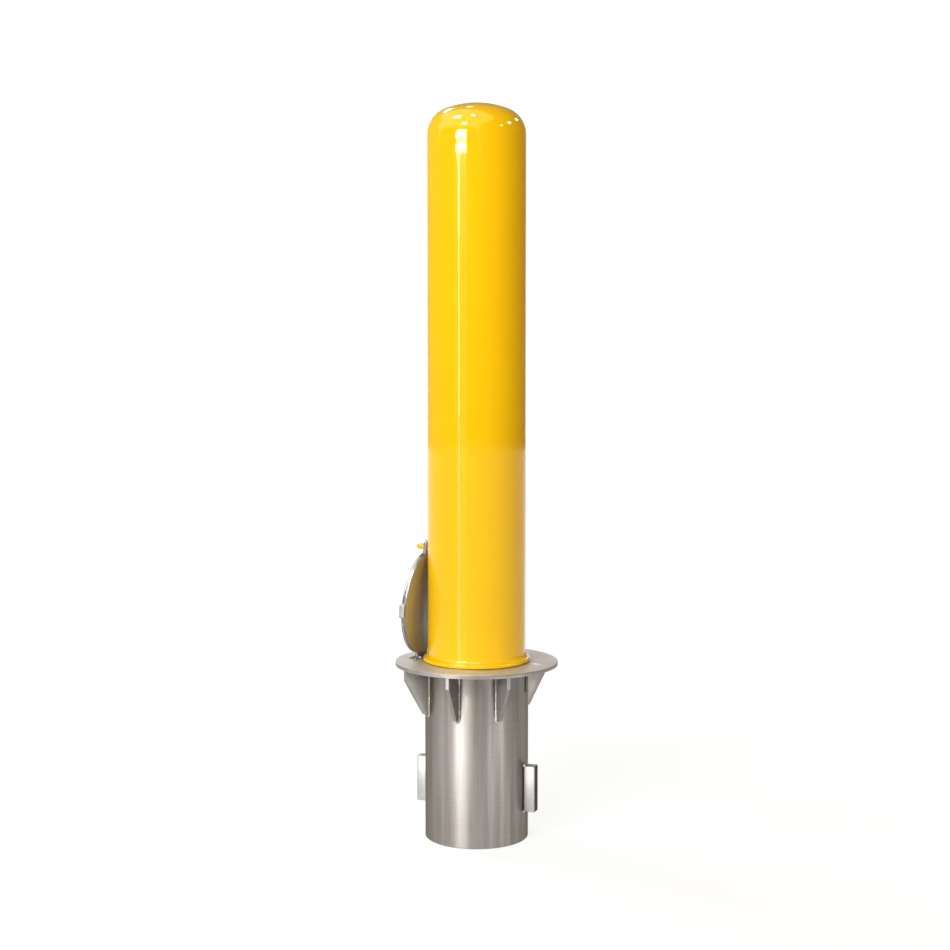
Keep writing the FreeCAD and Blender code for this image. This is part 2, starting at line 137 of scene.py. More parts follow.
def clean(mesh: Mesh, merge: float = 1e-6) -> Mesh:
    """Close a mesh's seams, turn its faces outwards and shade it smooth.

    Args:
        mesh: The mesh to clean in place.
        merge: Points nearer than this become one.

    Returns:
        The same mesh.
    """
    work = bmesh.new()
    work.from_mesh(mesh)
    bmesh.ops.remove_doubles(work, verts=work.verts, dist=merge)
    bmesh.ops.dissolve_degenerate(work, edges=work.edges, dist=merge / 10)
    bmesh.ops.recalc_face_normals(work, faces=work.faces)
    work.to_mesh(mesh)
    work.free()
    mesh.shade_smooth()
    mesh.set_sharp_from_angle(angle=SHARP_ANGLE)
    mesh.update()
    return mesh


def turned(name: str, profile: Sequence[Point], steps: int = ROUND_STEPS) -> Mesh:
    """Turn a closed profile of (radius, height) points once round the Z axis.

    Args:
        name: Name of the new mesh.
        profile: The closed section, in order.
        steps: Faces in one turn.

    Returns:
        A closed mesh.
    """
    verts: list[tuple[float, float, float]] = []
    rings: list[list[int]] = []
    for radius, height in profile:
        if radius < AXIS_RADIUS:
            verts.append((0.0, 0.0, height))
            rings.append([len(verts) - 1] * steps)
            continue
        first = len(verts)
        verts.extend((across, along, height) for across, along in circle(radius, steps=steps))
        rings.append(list(range(first, first + steps)))
    faces = []
    for n, ring in enumerate(rings):
        below = rings[n - 1]
        for k in range(steps):
            corners = [below[k], below[(k + 1) % steps], ring[(k + 1) % steps], ring[k]]
            corners = list(dict.fromkeys(corners))
            if len(corners) > 2:
                faces.append(corners)
    mesh = bpy.data.meshes.new(name)
    mesh.from_pydata(verts, [], faces)
    return clean(mesh)


def plate(name: str, loops: Sequence[Sequence[Point]], low: float, high: float,
          edge: float) -> Mesh:
    """Cut a flat plate with softened edges.

    Args:
        name: Name of the new mesh.
        loops: The outline first, and then any holes.
        low: Height of the lower face.
        high: Height of the upper face.
        edge: Radius of the softened edges.

    Returns:
        A closed mesh.
    """
    curve = bpy.data.curves.new(name, "CURVE")
    curve.dimensions = "2D"
    curve.fill_mode = "BOTH"
    curve.extrude = (high - low) / 2 - edge
    curve.bevel_depth = edge
    curve.bevel_resolution = 2
    curve.offset = -edge
    for loop in loops:
        spline = curve.splines.new("POLY")
        spline.points.add(len(loop) - 1)
        for point, (across, along) in zip(spline.points, loop):
            point.co = (across, along, 0.0, 1.0)
        spline.use_cyclic_u = True
    mesh = flattened(name, curve)
    mesh.transform(Matrix.Translation((0.0, 0.0, (low + high) / 2)))
    return clean(mesh)


def placed(name: str, data: Any) -> Object:
    """Put an object into the scene.

    Args:
        name: The object's name.
        data: Its mesh, curve, lamp or camera.

    Returns:
        The new object.
    """
    item = bpy.data.objects.new(name, data)
    bpy.context.scene.collection.objects.link(item)
    return item


def flattened(name: str, data: Any, modify: Any = None) -> Mesh:
    """Turn a curve, or a mesh under a modifier, into a plain mesh.

    Args:
        name: Name of the new mesh.
        data: The curve or mesh to work on.
        modify: Called with the object, to add its modifiers.

    Returns:
        The evaluated result as a mesh of its own.
    """
    helper = placed(f"{name}_work", data)
    if modify:
        modify(helper)
    ready = helper.evaluated_get(bpy.context.evaluated_depsgraph_get())
    mesh = bpy.data.meshes.new_from_object(ready)
    helper.modifiers.clear()
    bpy.data.objects.remove(helper)
    mesh.name = name
    return mesh


def joined(name: str, meshes: Sequence[Mesh]) -> Mesh:
    """Put several meshes into one.

    Args:
        name: Name of the new mesh.
        meshes: The meshes to join.

    Returns:
        The new mesh.
    """
    work = bmesh.new()
    for mesh in meshes:
        work.from_mesh(mesh)
    result = bpy.data.meshes.new(name)
    work.to_mesh(result)
    work.free()
    result.shade_smooth()
    result.set_sharp_from_angle(angle=SHARP_ANGLE)
    return result


def moved(mesh: Mesh, place: Matrix) -> Mesh:
    """Move a mesh by a matrix and return it."""
    mesh.transform(place)
    mesh.update()
    return mesh


def path_mesh(name: str, chains: Sequence[Sequence[Vector]], closed: bool = False) -> Mesh:
    """Make a mesh of bare edges that runs along chains of points.

    Args:
        name: Name of the new mesh.
        chains: The points of each run.
        closed: Whether each chain joins its own start.

    Returns:
        A mesh of points and edges only.
    """
    verts: list[Vector] = []
    edges: list[tuple[int, int]] = []
    for chain in chains:
        first = len(verts)
        verts.extend(chain)
        edges.extend((n, n + 1) for n in range(first, len(verts) - 1))
        if closed:
            edges.append((len(verts) - 1, first))
    mesh = bpy.data.meshes.new(name)
    mesh.from_pydata(verts, edges, [])
    return mesh


@dataclass
class Graph:
    """Adds nodes to a tree and joins them."""

    tree: NodeTree

    def add(self, kind: str, inputs: dict[Any, Any] | None = None, **settings: Any) -> Node:
        """Add a node.

        Args:
            kind: The node's type.
            inputs: A value or another node's output for each input.
            settings: The node's own properties.

        Returns:
            The new node.
        """
        node = self.tree.nodes.new(kind)
        for name, value in settings.items():
            setattr(node, name, value)
        return self.fill(node, inputs or {})

    def fill(self, node: Node, inputs: dict[Any, Any]) -> Node:
        """Give a node's inputs their values or links.

        Args:
            node: The node.
            inputs: A value or another node's output for each input.

        Returns:
            The same node.
        """
        for name, value in inputs.items():
            if isinstance(value, NodeSocket):
                self.tree.links.new(value, node.inputs[name])
            else:
                node.inputs[name].default_value = value
        return node

    def group(self, tree: NodeTree, vector: NodeSocket, **values: Any) -> Any:
        """Add a node group that reads a vector, and return its outputs."""
        return self.add("ShaderNodeGroup", {"Vector": vector, **values}, node_tree=tree).outputs

    def vector(self, operation: str, first: Any, second: Any) -> NodeSocket:
        """Add a vector math node and return its first output."""
        return self.add("ShaderNodeVectorMath", {0: first, 1: second}, operation=operation).outputs[0]

    def bump(self, strength: float, height: float, level: Any) -> NodeSocket:
        """Add a bump of a height in metres and return its normal."""
        values = {"Strength": strength, "Distance": height, "Height": level}
        return self.add("ShaderNodeBump", values).outputs[0]

    def math(self, operation: str, first: Any, second: Any = 0.0, third: Any = 0.0) -> NodeSocket:
        """Add a math node and return its output."""
        node = self.add("ShaderNodeMath", {0: first, 1: second, 2: third}, operation=operation)
        return node.outputs[0]

    def noise(self, vector: Any, scale: float, detail: float = 3.0,
              rough: float = 0.55) -> NodeSocket:
        """Add a noise texture.

        Args:
            vector: Where it is read.
            scale: How fine it is.
            detail: Its layers of finer noise.
            rough: Strength of those layers.

        Returns:
            Its value, near 0.5 on the whole.
        """
        node = self.add("ShaderNodeTexNoise",
                        {"Vector": vector, "Scale": scale, "Detail": detail, "Roughness": rough})
        return node.outputs["Fac"]

    def remap(self, value: Any, low: float, high: float, start: Any = 0.0,
              end: Any = 1.0) -> NodeSocket:
        """Spread a range of a value over another range.

        Args:
            value: The value's output.
            low: Start of its range.
            high: End of its range.
            start: What the start becomes.
            end: What the end becomes.

        Returns:
            The new value.
        """
        node = self.add("ShaderNodeMapRange", {"Value": value, "From Min": low, "From Max": high,
                                               "To Min": start, "To Max": end})
        return node.outputs["Result"]

    def blend(self, factor: Any, first: Any, second: Any) -> NodeSocket:
        """Mix two colours.

        Args:
            factor: Share of the second one.
            first: The first colour, or an output.
            second: The second colour, or an output.

        Returns:
            The mixed colour.
        """
        node = self.add("ShaderNodeMix", {"Factor": factor}, data_type="RGBA")
        for place, value in ((MIX_FIRST, first), (MIX_SECOND, second)):
            self.fill(node, {place: value if isinstance(value, NodeSocket) else (*value, 1.0)})
        return node.outputs[MIX_RESULT]


def new_group(name: str, inputs: dict[str, str], outputs: dict[str, str],
              kind: str = "ShaderNodeTree") -> tuple[Graph, Any, Any]:
    """Start a node group.

    Args:
        name: The group's name.
        inputs: Socket type of each named input.
        outputs: Socket type of each named output.
        kind: The tree's type.

    Returns:
        The graph, the group's given values and its result node.
    """
    tree = bpy.data.node_groups.new(name, kind)
    for side, sockets in (("INPUT", inputs), ("OUTPUT", outputs)):
        for label, socket in sockets.items():
            tree.interface.new_socket(name=label, in_out=side, socket_type=socket)
    graph = Graph(tree)
    return graph, graph.add("NodeGroupInput").outputs, graph.add("NodeGroupOutput")


def brushed_grain_group() -> NodeTree:
    """Return the group for fine lines left by brushing, drawn out along one direction."""
    graph, given, result = new_group(
        "BrushedGrain", {"Vector": "NodeSocketVector", "Stretch": "NodeSocketVector"},
        {"Grain": "NodeSocketFloat", "Bands": "NodeSocketFloat"})
    drawn = graph.vector("MULTIPLY", given["Vector"], given["Stretch"])
    coarse = graph.noise(drawn, 1.0, 4.0, 0.7)
    fine = graph.noise(drawn, 4.3, 3.0, 0.7)
    both = graph.math("MULTIPLY_ADD", coarse, 0.55, graph.math("MULTIPLY", fine, 0.45))
    bands = graph.remap(graph.noise(drawn, 0.16, 3.0, 0.6), 0.3, 0.7)
    graph.fill(result, {"Grain": both, "Bands": bands})
    return graph.tree


def smudge_group() -> NodeTree:
    """Return the group for soft patches where hands, dust and the sander changed the surface."""
    graph, given, result = new_group(
        "Smudges", {"Vector": "NodeSocketVector", "Stretch": "NodeSocketVector"},
        {"Mask": "NodeSocketFloat"})
    drawn = graph.vector("MULTIPLY", given["Vector"], given["Stretch"])
    graph.fill(result, {"Mask": graph.remap(graph.noise(drawn, 1.0, 5.0, 0.62), 0.38, 0.72)})
    return graph.tree


def scratch_group() -> NodeTree:
    """Return the group for sparse curved hair scratches."""
    graph, given, result = new_group(
        "HairScratches",
        {"Vector": "NodeSocketVector", "Scale": "NodeSocketFloat", "Width": "NodeSocketFloat"},
        {"Mask": "NodeSocketFloat"})
    scaled = graph.add("ShaderNodeVectorMath", {0: given["Vector"], "Scale": given["Scale"]},
                       operation="SCALE")
    lines = None
    for shift, scale in ((0.0, 1.0), (7.3, 1.7)):
        placed = graph.vector("ADD", scaled.outputs[0], (shift, shift / 2, -shift))
        level = graph.noise(placed, scale, 1.0, 0.4)
        off = graph.math("ABSOLUTE", graph.math("SUBTRACT", level, 0.5))
        line = graph.math("SUBTRACT", 1.0, graph.math("DIVIDE", off, given["Width"]))
        sparse = graph.remap(graph.noise(placed, scale * 2.6, 2.0), 0.52, 0.6)
        drawn = graph.math("MULTIPLY", graph.math("MAXIMUM", line, 0.0), sparse)
        lines = drawn if lines is None else graph.math("MAXIMUM", lines, drawn)
    graph.fill(result, {"Mask": lines})
    return graph.tree


def paint_skin_group() -> NodeTree:
    """Return the group for a powder coat's soft peel, with a faint unevenness of its colour."""
    graph, given, result = new_group(
        "PaintSkin", {"Vector": "NodeSocketVector", "Peel": "NodeSocketFloat"},
        {"Height": "NodeSocketFloat", "Tone": "NodeSocketFloat", "Specks": "NodeSocketFloat"})
    peel = graph.noise(given["Vector"], 330.0, 2.0, 0.5)
    wave = graph.noise(given["Vector"], 60.0, 2.0, 0.5)
    height = graph.math("MULTIPLY_ADD", peel, given["Peel"], graph.math("MULTIPLY", wave, 0.6))
    tone = graph.noise(given["Vector"], 9.0, 3.0, 0.5)
    specks = graph.remap(graph.noise(given["Vector"], 420.0, 0.0), 0.79, 0.83)
    graph.fill(result, {"Height": height, "Tone": tone, "Specks": specks})
    return graph.tree


def real_and_dressed(graph: Graph, geometry: Any, material: Any, result: Any) -> NodeTree:
    """End a geometry tree with real meshes in their material, and return the tree.

    Args:
        graph: The tree's graph.
        geometry: The output that holds the geometry.
        material: The output that holds the material.
        result: The group's result node.

    Returns:
        The finished tree.
    """
    real = graph.add("GeometryNodeRealizeInstances", {"Geometry": geometry}).outputs["Geometry"]
    dressed = graph.add("GeometryNodeSetMaterial", {"Geometry": real, "Material": material})
    graph.fill(result, {"Geometry": dressed.outputs["Geometry"]})
    return graph.tree


def bead_tree() -> NodeTree:
    """Return the tree for a round bar or rippled weld bead that follows bare edges."""
    graph, given, result = new_group(
        "BarAlongPath",
        {"Geometry": "NodeSocketGeometry", "Radius": "NodeSocketFloat", "Spacing": "NodeSocketFloat",
         "Pitch": "NodeSocketFloat", "Ripple": "NodeSocketFloat", "Taper": "NodeSocketFloat",
         "Wander": "NodeSocketFloat", "Seed": "NodeSocketFloat", "Sides": "NodeSocketInt",
         "Material": "NodeSocketMaterial"},
        {"Geometry": "NodeSocketGeometry"}, "GeometryNodeTree")
    line = graph.add("GeometryNodeMeshToCurve", {"Mesh": given["Geometry"]}).outputs["Curve"]
    even = graph.add("GeometryNodeResampleCurve", {"Curve": line, "Length": given["Spacing"]}, mode="LENGTH")
    place = graph.add("GeometryNodeInputPosition").outputs["Position"]
    drift = graph.add("ShaderNodeTexNoise", {"Vector": place, "W": given["Seed"], "Scale": 260.0},
                      noise_dimensions="4D")
    centred = graph.vector("SUBTRACT", drift.outputs["Color"], (0.5, 0.5, 0.5))
    offset = graph.add("ShaderNodeVectorMath", {0: centred, "Scale": given["Wander"]}, operation="SCALE")
    wandered = graph.add("GeometryNodeSetPosition",
                         {"Geometry": even.outputs["Curve"], "Offset": offset.outputs[0]})
    along = graph.add("GeometryNodeSplineParameter").outputs
    phase = graph.math("FRACT", graph.math("DIVIDE", along["Length"], given["Pitch"]))
    scale_edge = graph.math("SUBTRACT", graph.math("POWER", phase, 0.6), 0.5)
    rippled = graph.math("MULTIPLY_ADD", scale_edge, given["Ripple"], 1.0)
    centre = graph.math("SUBTRACT", drift.outputs["Fac"], 0.5)
    uneven = graph.math("MULTIPLY_ADD", centre, given["Ripple"], rippled)
    end = graph.math("MINIMUM", along["Factor"], graph.math("SUBTRACT", 1.0, along["Factor"]))
    tapered = graph.math("MINIMUM", graph.math("MULTIPLY_ADD", end, given["Taper"], 0.12), 1.0)
    blunt = graph.math("POWER", tapered, 0.5)
    radius = graph.math("MULTIPLY", graph.math("MULTIPLY", given["Radius"], uneven), blunt)
    section = graph.add("GeometryNodeCurvePrimitiveCircle", {"Resolution": given["Sides"], "Radius": 1.0})
    bar = graph.add("GeometryNodeCurveToMesh",
                    {"Curve": wandered.outputs["Geometry"], "Profile Curve": section.outputs["Curve"],
                     "Scale": radius, "Fill Caps": True})
    return real_and_dressed(graph, bar.outputs["Mesh"], given["Material"], result)


def fan_tree() -> NodeTree:
    """Return the tree for copies of a piece turned round the Z axis, leaving out every so many."""
    graph, given, result = new_group(
        "Fan",
        {"Geometry": "NodeSocketGeometry", "Places": "NodeSocketInt", "Leave Out Every": "NodeSocketInt",
         "Material": "NodeSocketMaterial"},
        {"Geometry": "NodeSocketGeometry"}, "GeometryNodeTree")
    line = graph.add("GeometryNodeMeshLine", {"Count": given["Places"], "Offset": (0.0, 0.0, 0.0)})
    number = graph.add("GeometryNodeInputIndex").outputs["Index"]
    step = graph.math("DIVIDE", math.tau, given["Places"])
    turn = graph.add("ShaderNodeCombineXYZ", {"Z": graph.math("MULTIPLY", number, step)}).outputs[0]
    rest = graph.math("MODULO", number, given["Leave Out Every"])
    kept = graph.math("GREATER_THAN", rest, 0.5)
    copies = graph.add("GeometryNodeInstanceOnPoints",
                       {"Points": line.outputs["Mesh"], "Instance": given["Geometry"],
                        "Selection": kept, "Rotation": turn})
    return real_and_dressed(graph, copies.outputs["Instances"], given["Material"], result)


def through(name: str, mesh: Mesh, tree: NodeTree, **values: Any) -> Mesh:
    """Run a mesh through a geometry tree.

    Args:
        name: Name of the result.
        mesh: The mesh that goes in.
        tree: The geometry node tree.
        values: A value for each named input, spaces written as underscores.

    Returns:
        A plain mesh.
    """
    sockets = {item.name: item.identifier for item in tree.interface.items_tree if item.in_out == "INPUT"}

    def modify(helper: Object) -> None:
        """Add the tree and fill in its inputs.

        Args:
            helper: The object that holds the mesh.
        """
        modifier = helper.modifiers.new("Shape", "NODES")
        modifier.node_group = tree
        for label, value in values.items():
            modifier[sockets[label.replace("_", " ")]] = value
        helper.update_tag()

    return flattened(name, mesh, modify)


@dataclass(frozen=True)
class Shared:
    """Node trees that several finishes and pieces use."""

    grain: NodeTree = field(default_factory=brushed_grain_group)
    smudges: NodeTree = field(default_factory=smudge_group)
    scratches: NodeTree = field(default_factory=scratch_group)
    paint: NodeTree = field(default_factory=paint_skin_group)
    bar: NodeTree = field(default_factory=bead_tree)
    fan: NodeTree = field(default_factory=fan_tree)


def start_material(name: str) -> tuple[Material, Graph, Node, NodeSocket]:
    """Start a material.

    Args:
        name: The material's name.

    Returns:
        The material, its graph, its shader and the object coordinates.
    """
    material = bpy.data.materials.new(name)
    material.use_nodes = True
    graph = Graph(material.node_tree)
    shader = material.node_tree.nodes["Principled BSDF"]
    place = graph.add("ShaderNodeTexCoord").outputs["Object"]
    return material, graph, shader, place


@dataclass(frozen=True)
class PaintFinish:
    """Gloss powder coat."""

    name: str
    colour: Colour
    deep: Colour
    roughness: float = 0.045
    specular: float = 0.45
    gloss_tint: Colour = (1.0, 0.92, 0.5)
    peel: float = 0.15
    bump: float = 0.05
    bump_height: float = 0.3 * MM
    speck: Colour = (0.16, 0.10, 0.02)
    speck_amount: float = 0.18
    dulled: tuple[float, float] = (0.8, 1.25)

    def build(self, shared: Shared) -> Material:
        """Build the finish.

        Args:
            shared: The node trees that finishes share.

        Returns:
            The material.
        """
        material, graph, shader, place = start_material(self.name)
        skin = graph.group(shared.paint, place, Peel=self.peel)
        toned = graph.blend(graph.remap(skin["Tone"], 0.3, 0.7), self.colour, self.deep)
        speck = graph.math("MULTIPLY", skin["Specks"], self.speck_amount)
        low, high = (self.roughness * share for share in self.dulled)
        graph.fill(shader, {
            "Base Color": graph.blend(speck, toned, self.speck),
            "Roughness": graph.remap(skin["Tone"], 0.2, 0.8, low, high),
            "Specular IOR Level": self.specular,
            "Specular Tint": (*self.gloss_tint, 1.0),
            "Normal": graph.bump(self.bump, self.bump_height, skin["Height"]),
        })
        return material


@dataclass(frozen=True)
class SteelFinish:
    """Bare stainless steel with a brushed grain."""

    name: str
    bright: Colour
    dull: Colour
    roughness: float
    grain: tuple[float, float, float]
    smudge: tuple[float, float, float]
    turn: float = 0.0
    anisotropy: float = 0.0
    grain_depth: float = 0.25
    smudge_amount: float = 0.5
    scratch_scale: float = 14.0
    scratch_width: float = 0.0035
    edge_tint: Colour = (0.45, 0.42, 0.38)
    metallic: float = 1.0
    polish: float = 0.0
    polish_roughness: float = 0.12
    band_amount: float = 0.22
    scratch_amount: float = 0.35
    scratch_shine: float = 1.35
    scratch_depth: float = 0.5
    grain_roughness: float = 0.12
    smudge_roughness: float = 0.06
    grain_height: float = 0.05 * MM

    def build(self, shared: Shared) -> Material:
        """Build the finish.

        Args:
            shared: The node trees that finishes share.

        Returns:
            The material.
        """
        material, graph, shader, place = start_material(self.name)
        grain = graph.group(shared.grain, place, Stretch=self.grain)
        smudge = graph.group(shared.smudges, place, Stretch=self.smudge)["Mask"]
        scratch = graph.group(shared.scratches, place, Scale=self.scratch_scale,
                              Width=self.scratch_width)["Mask"]
        patch = graph.math("MULTIPLY", smudge, self.smudge_amount)
        banded = graph.math("MULTIPLY_ADD", grain["Bands"], self.band_amount, patch)
        base = graph.blend(banded, self.bright, self.dull)
        lines = graph.math("MULTIPLY", scratch, self.scratch_amount)
        shine = tuple(min(1.0, part * self.scratch_shine) for part in self.bright)
        rough = graph.math("MULTIPLY_ADD", grain["Grain"], self.grain_roughness,
                           self.roughness - self.grain_roughness / 2)
        height = graph.math("MULTIPLY_ADD", scratch, -self.scratch_depth, grain["Grain"])
        graph.fill(shader, {
            "Base Color": graph.blend(lines, base, shine),
            "Roughness": graph.math("MULTIPLY_ADD", smudge, self.smudge_roughness, rough),
            "Normal": graph.bump(self.grain_depth, self.grain_height, height),
            "Metallic": self.metallic,
            "Coat Weight": self.polish,
            "Coat Roughness": self.polish_roughness,
            "Specular Tint": (*self.edge_tint, 1.0),
            "Anisotropic": self.anisotropy,
            "Anisotropic Rotation": self.turn,
        })
        return material


@dataclass(frozen=True)
class WeldFinish:
    """Weld metal, with straw and grey heat tint."""

    name: str
    metal: Colour = (0.60, 0.58, 0.55)
    straw: Colour = (0.62, 0.43, 0.20)
    soot: Colour = (0.10, 0.09, 0.08)
    roughness: float = 0.32
    straw_amount: float = 0.8
    straw_side: tuple[float, float] = (-0.02, -0.05)
    soot_amount: float = 0.7
    soot_roughness: float = 0.25
    soot_patches: tuple[float, float, float] = (150.0, 150.0, 150.0)
    bump: float = 0.4
    bump_height: float = 0.1 * MM

    def build(self, shared: Shared) -> Material:
        """Build the finish.

        Args:
            shared: The node trees that finishes share.

        Returns:
            The material.
        """
        material, graph, shader, place = start_material(self.name)
        across = graph.add("ShaderNodeSeparateXYZ", {"Vector": place}).outputs["X"]
        patches = graph.remap(graph.noise(place, 22.0, 2.0), 0.45, 0.60)
        tint = graph.math("MULTIPLY", patches, graph.remap(across, *self.straw_side))
        tinted = graph.blend(graph.math("MULTIPLY", tint, self.straw_amount), self.metal, self.straw)
        smudge = graph.group(shared.smudges, place, Stretch=self.soot_patches)["Mask"]
        dark = graph.math("MULTIPLY", smudge, self.soot_amount)
        graph.fill(shader, {
            "Metallic": 1.0,
            "Base Color": graph.blend(dark, tinted, self.soot),
            "Roughness": graph.math("MULTIPLY_ADD", smudge, self.soot_roughness, self.roughness),
            "Normal": graph.bump(self.bump, self.bump_height, graph.noise(place, 900.0, 3.0)),
        })
        return material


STEEL_BRIGHT: Colour = (0.37, 0.352, 0.33)
STEEL_DULL: Colour = (0.25, 0.218, 0.18)

YELLOW_COAT = PaintFinish("yellow_powder_coat", (0.95, 0.553, 0.002), (0.93, 0.54, 0.002))
ROLLED_TUBE = SteelFinish("brushed_round_tube", STEEL_BRIGHT, STEEL_DULL, 0.35, (9.0, 9.0, 2400.0),
                          (60.0, 60.0, 2.6), turn=0.25, anisotropy=0.92, smudge_amount=0.85, grain_depth=0.08)
FLANGE_FACE = SteelFinish("brushed_flange", (0.58, 0.555, 0.515), (0.44, 0.41, 0.365), 0.40,
                          (26.0, 1900.0, 26.0), (30.0, 30.0, 30.0), smudge_amount=0.5, grain_depth=0.08,
                          edge_tint=(0.65, 0.63, 0.60), metallic=0.5, polish=0.2)
CUT_PLATE = SteelFinish("sanded_plate", (0.34, 0.325, 0.305), (0.24, 0.22, 0.195), 0.34, (90.0, 90.0, 700.0),
                        (45.0, 45.0, 30.0), smudge_amount=0.7, metallic=0.6)
SOLID_BAR = SteelFinish("sanded_bar", (0.50, 0.49, 0.48), (0.36, 0.34, 0.32), 0.40, (420.0, 420.0, 420.0),
                        (40.0, 40.0, 25.0), smudge_amount=0.5, edge_tint=(0.7, 0.68, 0.65))
# Dark steel for the lugs' sheared end faces; its darkness is painted shade on the faces turned from the
# lamps.
SHEARED_END_SHADE = SteelFinish("sheared_end_shade", (0.17, 0.157, 0.145), (0.09, 0.08, 0.07), 0.5, (420.0, 420.0, 420.0),
                          (60.0, 60.0, 40.0), edge_tint=(0.2, 0.19, 0.18))
LID_SHEET = SteelFinish("brushed_lid", (0.54, 0.56, 0.61), (0.40, 0.41, 0.43), 0.45, (40.0, 1700.0, 40.0),
                        (25.0, 25.0, 25.0), smudge_amount=0.4, edge_tint=(0.3, 0.3, 0.3), metallic=0.8)
LID_RIM = SteelFinish("lid_rim", (0.22, 0.215, 0.21), (0.15, 0.145, 0.14), 0.30, (300.0, 300.0, 300.0),
                      (40.0, 40.0, 40.0))
# Dark grey steel used as painted shade: dark outlines on bevels and dark lines beside beads.
PAINTED_DARK_SHADE = SteelFinish("painted_dark_shade_finish", (0.12, 0.115, 0.11), (0.08, 0.075, 0.07), 0.45, (300.0, 300.0, 300.0),
                        (40.0, 40.0, 40.0), edge_tint=(0.2, 0.19, 0.18))
DRAWN_ROD = SteelFinish("drawn_rod", STEEL_BRIGHT, STEEL_DULL, 0.22, (300.0, 20.0, 300.0),
                        (60.0, 60.0, 60.0))
BARE_WELD = WeldFinish("weld_metal")


class Finishes:
    """Every finish as a material."""

    def __init__(self, shared: Shared) -> None:
        """Build the materials once.

        Args:
            shared: The node trees that finishes share.
        """
        self.shared = shared
        self.paint = YELLOW_COAT.build(shared)
        self.tube = ROLLED_TUBE.build(shared)
        self.flange = FLANGE_FACE.build(shared)
        self.cut = CUT_PLATE.build(shared)
        self.bar = SOLID_BAR.build(shared)
        self.end_face_shade = SHEARED_END_SHADE.build(shared)
        self.lid = LID_SHEET.build(shared)
        self.rim = LID_RIM.build(shared)
        self.dark_shade = PAINTED_DARK_SHADE.build(shared)
        self.rod = DRAWN_ROD.build(shared)
        self.weld = BARE_WELD.build(shared)


@dataclass
class Assembly:
    """A group of pieces that move together."""

    finishes: Finishes

    @property
    def shared(self) -> Shared:
        """Return the shared node trees."""
        return self.finishes.shared

    def piece(self, name: str, mesh: Mesh, material: Material, body: Body, slot: Slot,
              stands_for: Sequence[str] = ()) -> Object:
        """Add a finished piece.

        Args:
            name: The piece's name.
            mesh: Its mesh, already in place.
            material: Its finish.
            body: The body that it moves with.
            slot: The record's finish slot; not used.
            stands_for: Solids that it replaces.

        Returns:
            The new object.
        """
        mesh.materials.clear()
        mesh.materials.append(material)
        item = placed(name, mesh)
        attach(item, body.value)
        if stands_for:
            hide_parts(*stands_for)
        log.info("%s: %d faces on %s", name, len(mesh.polygons), body.value)
        return item

    def also(self, item: Object, material: Material, way: Vector,
             least: float, most: float, beyond: float = 0.0) -> None:
        """Give some faces of a piece another finish.

        Args:
            item: The piece.
            material: The other finish.
            way: A direction of unit length.
            least: Smallest share of a face's normal along that direction, either way.
            most: Largest share of it.
            beyond: Faces nearer to the Z axis than this keep their finish.
        """
        item.data.materials.append(material)
        place = len(item.data.materials) - 1
        for face in item.data.polygons:
            if least <= abs(face.normal.dot(way)) <= most and face.center.xy.length >= beyond:
                face.material_index = place

    def bar(self, name: str, path: Mesh, radius: float, material: Material,
            spacing: float, sides: int = 24) -> Mesh:
        """Run a plain round bar along a path."""
        return clean(through(name, path, self.shared.bar, Radius=radius, Spacing=spacing, Pitch=1.0,
                             Ripple=0.0, Taper=1000.0, Wander=0.0, Seed=0.0, Sides=sides, Material=material))

    def beads(self, name: str, path: Mesh, radius: float, material: Material, seed: float,
              taper: float = 12.0, ripple: float = 0.34, wander: float = 0.9 * MM) -> Mesh:
        """Run rippled weld beads along a path."""
        return through(name, path, self.shared.bar, Radius=radius, Spacing=0.45 * MM, Pitch=1.9 * MM,
                       Ripple=ripple, Taper=taper, Wander=wander, Seed=seed, Sides=10, Material=material)


